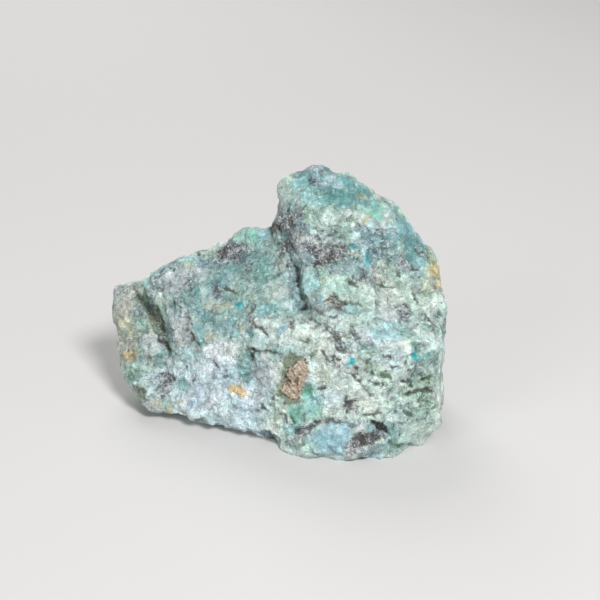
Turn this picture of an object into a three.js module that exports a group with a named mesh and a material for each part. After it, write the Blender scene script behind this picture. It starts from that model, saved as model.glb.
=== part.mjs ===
// Rough turquoise: one broken lump of turquoise in its pale matrix, about as long as a thumb.
// Millimetres, +Z up, +X along the stone's length, -Y towards its best side.
//
// The lump is one piece of stone. It is made of a few chunks, each bounded by the flat fracture
// planes that meet at its corners. The chunks are joined with softened creases, hollows and cracks
// are taken out, and a gentle unevenness covers every broken face. It rests on a flat base.

import * as THREE from 'three';
import { ConvexHull } from 'three/addons/math/ConvexHull.js';
import { ImprovedNoise } from 'three/addons/math/ImprovedNoise.js';

// Driving dimensions
const GRID_STEP = 1.5;           // spacing of the surface points
const EDGE_ROUNDING = 0.35;      // softness of the edges between fracture planes
const CREASE_ROUNDING = 0.5;     // softness of the creases between chunks
const HOLLOW_ROUNDING = 0.5;     // softness of the rims of hollows and cracks

// Unevenness of the broken faces: wavelength, height, and where in the noise it is taken from
const WAVES = [
  { length: 9, height: 0.5, from: new THREE.Vector3(0, 5.1, 9.7) },
  { length: 4.2, height: 0.25, from: new THREE.Vector3(17.3, 5.1, 9.7) },
];

const STONE_COLOR = 0x93b1ab;
const STONE_ROUGHNESS = 0.72;

// Corners of the chunks, as x, y, z. What reaches below the base plane, z = 0, is cut off by it.
const LOWER_BODY = [
  [-4, -6.5, 19], [1, -8.5, 21.3], [7.5, -8.5, 23.3], [12, -8.5, 24], [17, -11.5, 20.5], [28.5, -6.5, 19],
  [30.5, 2, 21], [29.5, 8, 25], [10, 17, 27], [-5, 15, 24], [-4, -9.3, 2], [3, -14, -1],
  [11.5, -15.2, -1], [17, -15, -1], [26.5, -10.8, -0.5], [29, -7, 1], [30.6, -1.5, 2], [30.6, 6, 3],
  [-8, 17, -4], [10, 18.5, -4], [25, 14.5, -4], [30, 11, 10],
];

const UPPER_BODY = [
  [4.6, -4, 24.5], [3.9, 1.6, 31], [4.5, 8, 33], [7.5, -8.3, 23.3], [12, -8.5, 24], [17, -11.3, 20.6],
  [28.5, -6.3, 19], [30.6, 2, 21], [29, 8.5, 28], [23.5, 3, 27.5], [10, 2, 30.3], [26.5, 12.5, 31.5],
  [10, 17, 34], [3, 15, 33], [3.6, -3, 18], [3, 14, 18], [9, -7, 18], [28, -5, 15], [28, 12, 15],
  [10, 17, 15],
];

const FOOT = [
  [0.6, -11.6, 0.5], [3, -14.2, 0], [11.5, -16, 0], [17, -15.8, 0], [21.7, -14.2, 0], [23, -11, 0],
  [4, -13, 3.5], [11, -14.2, 5], [17, -14.2, 5], [21, -12.8, 3], [0, -11, -3], [3, -14, -3], [11.5, -16, -3],
  [17, -16, -3], [22, -14, -3], [22, -5, 5], [2, -5, 5], [22, -5, -3], [0, -5, -3],
];

const PEAK = [
  [4.6, -3.6, 24.3], [3.6, 1.2, 31.2], [1, 9, 34], [-1, 12, 36], [-0.6, 12, 41], [0.7, 11.5, 43.8],
  [4.5, 12.5, 45.8], [8, 12.5, 46.4], [12, 13, 44.4], [17.5, 13, 40.5], [22, 12, 38.5], [12, 4.5, 41],
  [4, 5.5, 41], [3.5, 2.5, 34], [12, 2.5, 34], [18, 4.5, 34], [20.3, 6.5, 37.6], [17, 1, 26], [0, 17, 30],
  [3, 17.5, 40], [9, 17, 43.5], [16, 17.5, 36],
];

const SHOULDER = [
  [16, 6, 38.8], [17.5, 12.5, 40.3], [22.3, 12, 38.5], [26, 11.5, 33.8], [29.3, 9, 28], [30.6, 6, 22],
  [24, 2.5, 28.5], [16, 3, 30], [19.5, 5, 36], [24, 16, 32], [17, 17, 35], [16, 15, 22], [28.5, 13, 24],
];

const WING = [
  [-26.3, 15.5, 22.5], [-20, 16, 25.8], [-12, 16, 28.8], [-7, 16, 31], [-2, 15, 32.5], [-26.3, 12.5, 21.7],
  [-24, 10.5, 20.4], [-20.5, 6, 16.7], [-19.3, 3.2, 14], [-15.5, 0.2, 16.5], [-10, -2.5, 18],
  [-4.5, -5.2, 19.5], [3.5, -5, 22.8], [4, 3.8, 29.4], [3, 10, 33], [-18, -1.5, 7], [-17.5, -4.8, 2],
  [-12.5, -6.5, 2.5], [-6.5, -8.6, 2.4], [-0.5, -9.8, 1.6], [-22, 17.5, 4], [-19, 15, -2], [-8, 18, -3],
  [0, 18, -3], [-4, 0, -3], [-23, 18.5, 16], [-8, 19, 24], [2, 18, 28],
];

const LUMP = [
  [-9, 14, 30], [-7.2, 14, 32.3], [-3, 13.8, 32.9], [-1.5, 12.5, 31.5], [-7.5, 10.8, 29.8], [-3, 9.8, 30],
  [-8, 17, 29], [-6, 16.5, 32], [-1.5, 17, 30],
];

const LEFT_END = [
  [-32.6, 12, 17.5], [-32.6, 13.5, 20.3], [-31.7, 15, 21.2], [-28.5, 15.7, 21.8], [-26, 12, 20.4],
  [-24, 9, 17.3], [-22, 6.3, 14.5], [-20, 3.5, 12], [-20, 0.5, 6.5], [-17.5, -4.3, 2.2], [-22.9, -3.2, 2.2],
  [-28.5, 1, 3.7], [-31.4, 7.5, 8.5], [-31.4, 16.5, 10], [-28, 18, 5], [-18, 18, 4], [-20, 8, -1],
  [-28.5, 18, 19], [-16, 17, 18],
];

const CHUNKS = [LOWER_BODY, UPPER_BODY, FOOT, PEAK, SHOULDER, WING, LUMP, LEFT_END];

// Hollows, each an ellipsoid: its centre, its half-sizes and its turn about the vertical in degrees
const HOLLOWS = [
  { centre: [9.5, -2.5, 34.5], half: [9.5, 5.6, 5], turn: 0 },      // below the peak's face
  { centre: [-5.2, -11.3, 13], half: [2.6, 4.2, 6], turn: -25 },    // fold between wing and body
  { centre: [15, 24, 17], half: [13, 7.6, 11], turn: -12 },         // shell-shaped break in the back
  { centre: [-13, 25, 20], half: [9, 8.4, 8], turn: 5 },            // smaller one behind the wing
  { centre: [35, 8, 10], half: [5.8, 9, 8], turn: 0 },              // chip out of the right side
];

// Cracks, each a run of points that its floor passes through: x, y, z and the half-width there
const CLEFT_BESIDE_PEAK = [[0.2, 10, 35.5, 0.9], [1.8, 5, 31.5, 0.8], [2.8, 1, 28, 0.7], [4.2, -3, 24, 0.6]];
const GROOVE_AT_LEFT_END = [
  [-26.8, 12.6, 21.6, 0.5], [-23.6, 8.6, 18, 0.8], [-21.2, 4.8, 14.6, 0.8], [-20.2, 2.4, 10, 0.4],
];
const CRACKS = [CLEFT_BESIDE_PEAK, GROOVE_AT_LEFT_END];

// Limits of the calculation
const SAME_PLANE_COSINE = 0.995;   // hull faces closer in direction than this are one fracture plane
const PROBE = 0.05;                // step for measuring the field's slope
const SETTLE_ROUNDS = 3;
const LEAST_SLOPE = 0.5;           // keeps a settling point from jumping where the field is flat
const JUST_INSIDE = -1e-3;         // field given to a grid point that is filled in
const JUST_OUTSIDE = 1e-6;         // least field of the grid points in the base plane
const BASE_TOLERANCE = 1e-3;       // height under which a crossing counts as in the base plane

const AXES = [[1, 0, 0], [0, 1, 0], [0, 0, 1]];
const UP = new THREE.Vector3(0, 0, 1);

// Softened maximum and minimum of several values
function softMax(values, rounding) {
  const highest = Math.max(...values);
  const sum = values.reduce((total, value) => total + Math.exp((value - highest) / rounding), 0);
  return highest + rounding * Math.log(sum);
}

function softMin(values, rounding) {
  return -softMax(values.map((value) => -value), rounding);
}

// The fracture planes that bound a chunk
function planesOf(corners) {
  const hull = new ConvexHull().setFromPoints(corners.map((corner) => new THREE.Vector3(...corner)));
  const planes = [];
  for (const face of hull.faces) {
    if (!planes.some((plane) => plane.normal.dot(face.normal) > SAME_PLANE_COSINE)) {
      planes.push(new THREE.Plane(face.normal.clone(), -face.constant));
    }
  }
  return planes;
}

const chunkPlanes = CHUNKS.map(planesOf);

function distanceToHollow(point, hollow) {
  const half = new THREE.Vector3(...hollow.half);
  const local = point.clone().sub(new THREE.Vector3(...hollow.centre));
  local.applyAxisAngle(UP, -THREE.MathUtils.degToRad(hollow.turn)).divide(half);
  const radius = local.length();
  return radius * (radius - 1) / local.divide(half).length();
}

function distanceToCrack(point, crack) {
  let distance = Infinity;
  for (let i = 0; i + 1 < crack.length; i++) {
    const [start, end] = [crack[i], crack[i + 1]];
    const run = new THREE.Line3(new THREE.Vector3(...start), new THREE.Vector3(...end));
    const along = run.closestPointToPointParameter(point, true);
    const halfWidth = THREE.MathUtils.lerp(start[3], end[3], along);
    distance = Math.min(distance, run.at(along, new THREE.Vector3()).distanceTo(point) - halfWidth);
  }
  return distance;
}

const noise = new ImprovedNoise();

function unevenness(point) {
  return WAVES.reduce((sum, wave) => {
    const at = point.clone().divideScalar(wave.length).add(wave.from);
    return sum + wave.height * noise.noise(at.x, at.y, at.z);
  }, 0);
}

// Below zero inside the stone, and near the surface about the distance to it
function stoneField(point) {
  const chunks = chunkPlanes.map((planes) => {
    return softMax(planes.map((plane) => plane.distanceToPoint(point)), EDGE_ROUNDING);
  });
  const solid = softMin(chunks, CREASE_ROUNDING);
  const hollows = HOLLOWS.map((hollow) => -distanceToHollow(point, hollow));
  const cracks = CRACKS.map((crack) => -distanceToCrack(point, crack));
  return softMax([solid, ...hollows, ...cracks], HOLLOW_ROUNDING) + unevenness(point);
}

// A regular grid over the stone. Its lowest layer of points lies in the base plane, just outside.
function makeGrid() {
  const corners = CHUNKS.flat().map((corner) => new THREE.Vector3(...corner));
  const box = new THREE.Box3().setFromPoints(corners).expandByScalar(2 * GRID_STEP);
  box.min.z = 0;
  const size = box.getSize(new THREE.Vector3()).divideScalar(GRID_STEP);
  const counts = [Math.ceil(size.x) + 1, Math.ceil(size.y) + 1, Math.ceil(size.z) + 1];
  const grid = {
    counts,
    place: (i, j, k) => new THREE.Vector3(i, j, k).multiplyScalar(GRID_STEP).add(box.min),
    index: (i, j, k) => (k * counts[1] + j) * counts[0] + i,
    field: new Float64Array(counts[0] * counts[1] * counts[2]),
  };
  forEachPoint(counts, 0, (i, j, k) => {
    const value = stoneField(grid.place(i, j, k));
    grid.field[grid.index(i, j, k)] = k === 0 ? Math.max(value, JUST_OUTSIDE) : value;
  });
  fillPinches(grid);
  return grid;
}

// Visits the grid's points, leaving out the last few along each axis
function forEachPoint(counts, leftOut, visit) {
  for (let k = 0; k < counts[2] - leftOut; k++) {
    for (let j = 0; j < counts[1] - leftOut; j++) {
      for (let i = 0; i < counts[0] - leftOut; i++) {
        visit(i, j, k);
      }
    }
  }
}

// The grid point that lies a steps along one axis and b steps along another from a given one
function stepped(from, a, along, b, across) {
  return from.map((value, n) => value + a * along[n] + b * across[n]);
}

// Where the four corners of a cell's side are in and out of the stone by turns, the surface would
// pinch itself along an edge. One of the corners that are out is then filled in.
function fillPinches({ counts, index, field }) {
  let filled = 0;
  do {
    filled = 0;
    forEachPoint(counts, 1, (i, j, k) => {
      AXES.forEach((along, axis) => {
        const across = AXES[(axis + 1) % 3];
        const corners = [[0, 0], [1, 0], [1, 1], [0, 1]].map(([a, b]) => {
          return index(...stepped([i, j, k], a, along, b, across));
        });
        const isIn = corners.map((corner) => field[corner] < 0);
        if (isIn[0] === isIn[2] && isIn[1] === isIn[3] && isIn[0] !== isIn[1]) {
          field[corners[isIn[0] ? 1 : 0]] = JUST_INSIDE;
          filled += 1;
        }
      });
    });
  } while (filled > 0);
}

// Moves a point near the surface onto it, by no more than a third of a grid step.
// A point of the base's outline stays in the base plane.
function settle(point, inBase) {
  const start = point.clone();
  for (let round = 0; round < SETTLE_ROUNDS; round++) {
    const value = stoneField(point);
    const slope = new THREE.Vector3(...AXES.map((axis) => {
      const beside = point.clone().addScaledVector(new THREE.Vector3(...axis), PROBE);
      return (stoneField(beside) - value) / PROBE;
    }));
    if (inBase) {
      slope.z = 0;
    }
    point.addScaledVector(slope, -value / Math.max(slope.lengthSq(), LEAST_SLOPE ** 2));
  }
  const moved = point.clone().sub(start).clampLength(0, GRID_STEP / 3);
  point.copy(start).add(moved);
}

// The places where the surface crosses the twelve edges of a grid cell
function crossingsOf(cell, { place, index, field }) {
  const crossings = [];
  AXES.forEach((step, axis) => {
    for (const [a, b] of [[0, 0], [1, 0], [0, 1], [1, 1]]) {
      const from = stepped(cell, a, AXES[(axis + 1) % 3], b, AXES[(axis + 2) % 3]);
      const to = stepped(from, 1, step, 0, step);
      const [start, end] = [field[index(...from)], field[index(...to)]];
      if (start < 0 !== end < 0) {
        crossings.push(place(...from).lerp(place(...to), start / (start - end)));
      }
    }
  });
  return crossings;
}

// One vertex in each cell that the surface passes through, and the cells' numbers for them
function makeVertices(grid) {
  const positions = [];
  const vertexOf = new Map();
  forEachPoint(grid.counts, 1, (i, j, k) => {
    const crossings = crossingsOf([i, j, k], grid);
    if (crossings.length === 0) {
      return;
    }
    const vertex = new THREE.Vector3();
    crossings.forEach((crossing) => vertex.addScaledVector(crossing, 1 / crossings.length));
    const inBase = crossings.filter((crossing) => crossing.z < BASE_TOLERANCE).length;
    if (inBase > 0) {
      vertex.z = 0;
    }
    if (inBase < crossings.length) {
      settle(vertex, inBase > 0);
    }
    vertexOf.set(grid.index(i, j, k), positions.length / 3);
    positions.push(vertex.x, vertex.y, Math.max(vertex.z, 0));
  });
  return { positions, vertexOf };
}

// Two triangles across each grid edge that the surface crosses, facing out of the stone
function makeTriangles({ counts, index, field }, vertexOf) {
  const triangles = [];
  forEachPoint(counts, 1, (i, j, k) => {
    AXES.forEach((step, axis) => {
      const inside = field[index(i, j, k)] < 0;
      if (inside === field[index(...stepped([i, j, k], 1, step, 0, step))] < 0) {
        return;
      }
      const ring = [[-1, -1], [0, -1], [0, 0], [-1, 0]].map(([a, b]) => {
        return vertexOf.get(index(...stepped([i, j, k], a, AXES[(axis + 1) % 3], b, AXES[(axis + 2) % 3])));
      });
      if (!inside) {
        ring.reverse();
      }
      triangles.push(ring[0], ring[1], ring[2], ring[0], ring[2], ring[3]);
    });
  });
  return triangles;
}

// The stone's closed surface, moved so that the middle of its box stands over the origin
function stoneGeometry() {
  const grid = makeGrid();
  const { positions, vertexOf } = makeVertices(grid);
  const geometry = new THREE.BufferGeometry();
  geometry.setAttribute('position', new THREE.Float32BufferAttribute(positions, 3));
  geometry.setIndex(makeTriangles(grid, vertexOf));
  geometry.computeBoundingBox();
  const middle = geometry.boundingBox.getCenter(new THREE.Vector3());
  geometry.translate(-middle.x, -middle.y, 0);
  geometry.computeVertexNormals();
  return geometry;
}

const stone = new THREE.Mesh(stoneGeometry(), new THREE.MeshStandardMaterial({
  color: STONE_COLOR,
  roughness: STONE_ROUGHNESS,
  metalness: 0,
}));
stone.name = 'turquoise_stone';

const roughTurquoise = new THREE.Group();
roughTurquoise.add(stone);

export default roughTurquoise;
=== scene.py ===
import math

import bpy
import numpy as np
from mathutils import Matrix, Vector
from mathutils.bvhtree import BVHTree


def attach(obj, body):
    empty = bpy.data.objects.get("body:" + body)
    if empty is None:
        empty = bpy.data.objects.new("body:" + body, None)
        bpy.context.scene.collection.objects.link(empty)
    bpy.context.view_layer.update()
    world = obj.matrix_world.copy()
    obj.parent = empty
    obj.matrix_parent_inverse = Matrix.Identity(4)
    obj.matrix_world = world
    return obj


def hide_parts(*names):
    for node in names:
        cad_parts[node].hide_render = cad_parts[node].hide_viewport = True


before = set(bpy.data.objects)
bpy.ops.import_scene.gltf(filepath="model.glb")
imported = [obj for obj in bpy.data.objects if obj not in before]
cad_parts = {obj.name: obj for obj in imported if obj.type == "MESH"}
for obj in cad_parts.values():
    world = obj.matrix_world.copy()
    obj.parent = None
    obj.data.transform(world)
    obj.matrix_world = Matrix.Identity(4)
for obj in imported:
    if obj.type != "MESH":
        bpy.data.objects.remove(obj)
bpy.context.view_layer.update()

# The stone is worked out in millimetres, in the frame's axes, and written to Blender in metres.
MM = 0.001
STONE_NODE = "turquoise_stone"


# ---------------------------------------------------------------- camera
# Where the photograph was taken from. Pixels below are in its frame of 600 by 600.
FRAME_PIXELS = 600
FOCAL_PIXELS = 1212.0
PIXEL = 0.18        # millimetres of stone across one pixel of the photograph
SENSOR = 36.0       # width of the camera's sensor, in millimetres
CLIP_START = 0.01   # in metres
CAMERA_ELEVATION = math.radians(25)
CAMERA_DISTANCE = 218.0
CAMERA_AIM = np.array([4.55, -1.69, 24.3])

FORWARD = np.array([0, math.cos(CAMERA_ELEVATION), -math.sin(CAMERA_ELEVATION)])
UP = np.array([0, math.sin(CAMERA_ELEVATION), math.cos(CAMERA_ELEVATION)])
RIGHT = np.array([1.0, 0, 0])
CAMERA_PLACE = CAMERA_AIM - CAMERA_DISTANCE * FORWARD


def make_camera():
    data = bpy.data.cameras.new("camera")
    data.sensor_width = SENSOR
    data.lens = FOCAL_PIXELS / FRAME_PIXELS * SENSOR
    data.clip_start = CLIP_START
    camera = bpy.data.objects.new("camera", data)
    camera.location = Vector(CAMERA_PLACE * MM)
    camera.rotation_euler = Vector(FORWARD).to_track_quat("-Z", "Y").to_euler()
    bpy.context.scene.collection.objects.link(camera)
    bpy.context.scene.camera = camera


# ---------------------------------------------------------------- noise
# What mixes a cell's place and a seed into 32 bits, and the shift and factor of each stir after that.
PLACE_FACTORS = (374761393, 668265263, 1440662683)
SEED_FACTOR = 974634777
STIRS = ((15, 2246822519), (13, 3266489917), (16, 1))
ALL_BITS = 0xFFFFFFFF

# What is added to a seed, so that numbers drawn for one purpose don't follow those for another.
AXIS_SEEDS = (0, 101, 202)
OCTAVE_SEED = 13
WARP_SEED = 31
LEVEL_SEED = 7
TILT_SEED = 40
FINE_SEED = 5

SEED_SHIFT = 7.31   # cells between the noises of two neighbouring seeds
NOISE_GAIN = 1.5    # brings the noise to about -1 to 1
STRAY = 0.42        # how far an irregular cell's centre strays from its middle, in cells
TINY = 1e-9         # the least that anything is divided by


def hashed(cells, seed):
    """A number from 0 to 1 for each whole-numbered cell, always the same for one cell and seed."""
    place = cells.astype(np.int64)
    h = sum(place[..., axis] * factor for axis, factor in enumerate(PLACE_FACTORS)) + seed * SEED_FACTOR
    h &= ALL_BITS
    for shift, factor in STIRS:
        h = ((h ^ (h >> shift)) * factor) & ALL_BITS
    return h / ALL_BITS


def hashed_vectors(cells, seed):
    """Three numbers from -1 to 1 for each cell."""
    return np.stack([hashed(cells, seed + more) for more in AXIS_SEEDS], -1) * 2 - 1


def noise(points, size, seed):
    """Smooth noise from about -1 to 1, with features of about the given size in millimetres.

    Each corner of a cell has a slope of its own, and the usual curve of the fifth degree fades it out.
    """
    q = points / size + seed * SEED_SHIFT
    cell = np.floor(q)
    part = q - cell
    fade = part ** 3 * (part * (part * 6 - 15) + 10)
    total = 0
    for corner in np.ndindex(2, 2, 2):
        corner = np.array(corner)
        slope = hashed_vectors(cell + corner, seed)
        weight = np.prod(np.where(corner == 1, fade, 1 - fade), axis=-1)
        total = total + weight * np.sum(slope * (part - corner), axis=-1)
    return total * NOISE_GAIN


def fractal(points, size, octaves, seed, roughness=0.5):
    """Noise with ever finer features on top, each octave half the size of the one before."""
    total, height, sum_of_heights = 0, 1.0, 0.0
    for n in range(octaves):
        total = total + height * noise(points, size / 2 ** n, seed + OCTAVE_SEED * n)
        sum_of_heights += height
        height *= roughness
    return total / sum_of_heights


def warped(points, size, amount, seed):
    """The points pushed about by up to the given amount, so that borders wander."""
    pushes = [noise(points, size, seed + WARP_SEED * n) for n in range(3)]
    return points + amount * np.stack(pushes, -1)


def frayed(points, coarse, fine, seed):
    """The points pushed about coarsely and then finely; each push is its size and its amount."""
    return warped(warped(points, *coarse, seed), *fine, seed + FINE_SEED)


def cells_round(points, size, seed):
    """The 27 irregular cells round each point: cell, centre and offset from it, measured in cells."""
    q = points / size
    cell = np.floor(q)
    for step in np.ndindex(3, 3, 3):
        at = cell + np.array(step) - 1
        centre = at + 0.5 + STRAY * hashed_vectors(at, seed)
        yield at, centre, q - centre


def facets(points, size, tilt, bevel, seed):
    """Heights of a surface broken into flat facets of about one size, each tilted its own way."""
    near, heights = [], []
    for at, _, offset in cells_round(points, size, seed):
        near.append(np.sum(offset ** 2, -1))
        level = hashed(at, seed + LEVEL_SEED) - 0.5
        slope = np.sum(offset * hashed_vectors(at, seed + TILT_SEED), -1)
        heights.append(slope * tilt + level * tilt)
    near, heights = np.array(near), np.array(heights)
    weight = np.exp(-bevel * (near - near.min(0)))
    return size * np.sum(weight * heights, 0) / np.sum(weight, 0)


def cell_centres(points, size, seed):
    """The centre of the irregular cell that each point lies in."""
    nearest = np.full(len(points), np.inf)
    centres = np.zeros_like(points)
    for _, centre, offset in cells_round(points, size, seed):
        distance = np.sum(offset ** 2, -1)
        nearer = distance < nearest
        nearest = np.where(nearer, distance, nearest)
        centres[nearer] = centre[nearer]
    return centres * size


def smooth_step(low, high, value):
    t = np.clip((value - low) / (high - low), 0, 1)
    return t * t * (3 - 2 * t)


def scaled(pair, amount):
    """A pair's first number, plus the given amount of its second."""
    return pair[0] + pair[1] * amount


# ---------------------------------------------------------------- places on the stone
REACH_IN = 6.0      # how far into the stone a line or an outline seen from the camera still counts


class Surface:
    """Finds the point of the stone that shows at a pixel of the photograph."""

    def __init__(self, points, faces):
        self.tree = BVHTree.FromPolygons([Vector(p) for p in points], faces)

    def at(self, pixel):
        x = (pixel[0] - FRAME_PIXELS / 2) / FOCAL_PIXELS
        y = (FRAME_PIXELS / 2 - pixel[1]) / FOCAL_PIXELS
        ray = FORWARD + x * RIGHT + y * UP
        hit = self.tree.ray_cast(Vector(CAMERA_PLACE), Vector(ray).normalized())[0]
        if hit is None:
            near = CAMERA_PLACE + ray / np.linalg.norm(ray) * CAMERA_DISTANCE
            hit = self.tree.find_nearest(Vector(near))[0]
        return np.array(hit)


def seen(path):
    """A path of pixels as a line of points on the stone."""
    return [surface.at(pixel) for pixel in path]


def blob(points, centre, half, turn, depth):
    """0 at the centre of an oval seen from the camera, 1 on its rim; depth is its reach inwards."""
    offset = points - centre
    across, upwards = offset @ RIGHT, offset @ UP
    c, s = math.cos(math.radians(turn)), math.sin(math.radians(turn))
    u = (across * c + upwards * s) / half[0]
    v = (-across * s + upwards * c) / half[1]
    return np.sqrt(u ** 2 + v ** 2 + (offset @ FORWARD / depth) ** 2)


def run(points, path):
    """Distance from a line of points as seen from the camera, how far along it, and which side."""
    best = np.full(len(points), np.inf)
    along = np.zeros(len(points))
    side = np.zeros(len(points))
    lengths = [np.linalg.norm(b - a) for a, b in zip(path, path[1:])]
    start = 0.0
    for a, b, length in zip(path, path[1:], lengths):
        t = np.clip((points - a) @ (b - a) / length ** 2, 0, 1)
        offset = points - (a + t[:, None] * (b - a))
        deep = np.maximum(np.abs(offset @ FORWARD) - REACH_IN, 0)
        u, v = offset @ RIGHT, offset @ UP
        distance = np.sqrt(u ** 2 + v ** 2 + deep ** 2)
        nearer = distance < best
        best = np.where(nearer, distance, best)
        along = np.where(nearer, (start + t * length) / sum(lengths), along)
        turn = (b - a) @ RIGHT * v - (b - a) @ UP * u
        side = np.where(nearer, np.sign(turn), side)
        start += length
    return best, along, side


def within(points, corners):
    """Distance inside a closed outline as seen from the camera; negative outside it."""
    corners = corners + corners[:1]
    distance, _, _ = run(points, corners)
    inside = np.zeros(len(points), bool)
    across, upwards = points @ RIGHT, points @ UP
    for a, b in zip(corners, corners[1:]):
        low, high = sorted((a, b), key=lambda corner: corner @ UP)
        spans = (upwards >= low @ UP) & (upwards < high @ UP)
        t = (upwards - low @ UP) / max((high - low) @ UP, TINY)
        inside ^= spans & (across > low @ RIGHT + t * ((high - low) @ RIGHT))
    inside &= np.abs((points - np.mean(corners, 0)) @ FORWARD) < REACH_IN
    return np.where(inside, distance, -distance)


# ---------------------------------------------------------------- the stone's mesh
VOXEL = 0.30        # millimetres between the fine mesh's vertices
BASE_KEPT = 0.12    # share of the flat underside's faces that is kept, where the fine mesh isn't needed


class Mesh:
    """The stone's mesh as arrays, in millimetres."""

    def __init__(self, obj):
        self.data = obj.data
        count = len(self.data.vertices)
        flat = np.empty(count * 3, np.float32)
        self.data.vertices.foreach_get("co", flat)
        self.points = flat.reshape(-1, 3).astype(float)
        edges = np.empty(len(self.data.edges) * 2, np.int32)
        self.data.edges.foreach_get("vertices", edges)
        self.edges = edges.reshape(-1, 2)
        self.valence = np.bincount(self.edges.ravel(), minlength=count)
        self.faces = [tuple(p.vertices) for p in self.data.polygons]
        self.quads = np.array([f if len(f) == 4 else (*f, f[-1]) for f in self.faces])

    def average(self, values):
        """Each vertex's mean of its neighbours' values."""
        a, b = self.edges.T
        count = len(self.points)
        columns = values.reshape(count, -1).T
        sums = [np.bincount(a, c[b], count) + np.bincount(b, c[a], count) for c in columns]
        return (np.array(sums) / self.valence).T.reshape(values.shape)

    def smoothed(self, values, rounds):
        """The values, brought half way to their neighbours' mean in each round."""
        for _ in range(rounds):
            values = (values + self.average(values)) / 2
        return values

    def normals(self):
        """Each vertex's normal, from the faces round it."""
        corners = self.points[self.quads]
        face = np.cross(corners[:, 2] - corners[:, 0], corners[:, 3] - corners[:, 1])
        total = np.zeros_like(self.points)
        for n in range(4):
            for axis in range(3):
                total[:, axis] += np.bincount(self.quads[:, n], face[:, axis], len(self.points))
        return total / np.maximum(np.linalg.norm(total, axis=1, keepdims=True), TINY)

    def write(self):
        self.data.vertices.foreach_set("co", (self.points * MM).astype(np.float32).ravel())
        self.data.update()

    def attribute(self, name, values):
        layer = self.data.attributes.new(name, "FLOAT", "POINT")
        layer.data.foreach_set("value", values.astype(np.float32))

    def color(self, name, values):
        layer = self.data.attributes.new(name, "FLOAT_COLOR", "POINT")
        rgba = np.concatenate([values, np.ones((len(values), 1))], 1)
        layer.data.foreach_set("color", rgba.astype(np.float32).ravel())


def applied(obj):
    """The object's mesh with its modifiers applied."""
    evaluated = obj.evaluated_get(bpy.context.evaluated_depsgraph_get())
    data = bpy.data.meshes.new_from_object(evaluated)
    obj.modifiers.clear()
    obj.data = data
    return data


def fine_copy():
    """A copy of the CAD stone, in millimetres, remeshed finely enough to carry the broken surface."""
    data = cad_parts[STONE_NODE].data.copy()
    data.transform(Matrix.Scale(1 / MM, 4))
    data.materials.clear()
    stone = bpy.data.objects.new("rough_stone", data)
    bpy.context.scene.collection.objects.link(stone)
    remesh = stone.modifiers.new("remesh", "REMESH")
    remesh.mode = "VOXEL"
    remesh.voxel_size = VOXEL
    fine = applied(stone)

    # the inside of the flat underside, away from its border, is thinned out
    inner = {v.index for v in fine.vertices if v.co.z < VOXEL / 2}
    for edge in fine.edges:
        first, second = edge.vertices
        if (first in inner) != (second in inner):
            inner.discard(first)
            inner.discard(second)
    stone.vertex_groups.new(name="base").add(list(inner), 1.0, "ADD")
    thin = stone.modifiers.new("thin", "DECIMATE")
    thin.vertex_group = "base"
    thin.ratio = 1 - len(inner) / len(fine.vertices) * (1 - BASE_KEPT)
    applied(stone)
    stone.vertex_groups.clear()
    return stone


# ---------------------------------------------------------------- the broken surface
# Lines seen on the stone, by pixel.
CLEFT = [(277, 212), (282, 228), (287, 244), (291, 260), (294, 276), (298, 292), (303, 307)]
CLEFT_GAP = [(289, 262), (293, 272), (297, 283), (300, 294), (304, 308)]
GROOVE = [(134, 292), (142, 299), (147, 307), (152, 316), (157, 326), (161, 336), (164, 345), (168, 362)]
GROOVE_BAND = [(150, 286), (163, 303), (169, 326), (173, 350)]
FOLD = [(254, 353), (252, 362), (250, 374), (246, 386)]
BROW_LIP = [(254, 353), (266, 352), (279, 356)]
BROW_EDGE = [(236, 322), (262, 322), (290, 329), (320, 334), (345, 337), (364, 333)]
RIM = [(364, 333), (373, 342), (382, 345), (395, 344), (410, 341), (426, 341), (441, 341)]
CRACK = [(403, 396), (415, 393), (423, 390.5), (428, 389.5), (436, 391)]
SMALL_CRACK = [(419, 384), (424, 380), (431, 375.5)]
LEDGE = [(386, 440), (394, 445), (404, 446), (412, 444), (424, 441)]
FOOT_STEP = [(284, 421), (292, 430), (304, 430), (316, 424), (330, 421), (346, 424), (362, 431)]
CORNER_EDGE = [(438, 348), (439, 372), (439, 396), (438, 416), (430, 433), (417, 444), (400, 449)]

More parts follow.
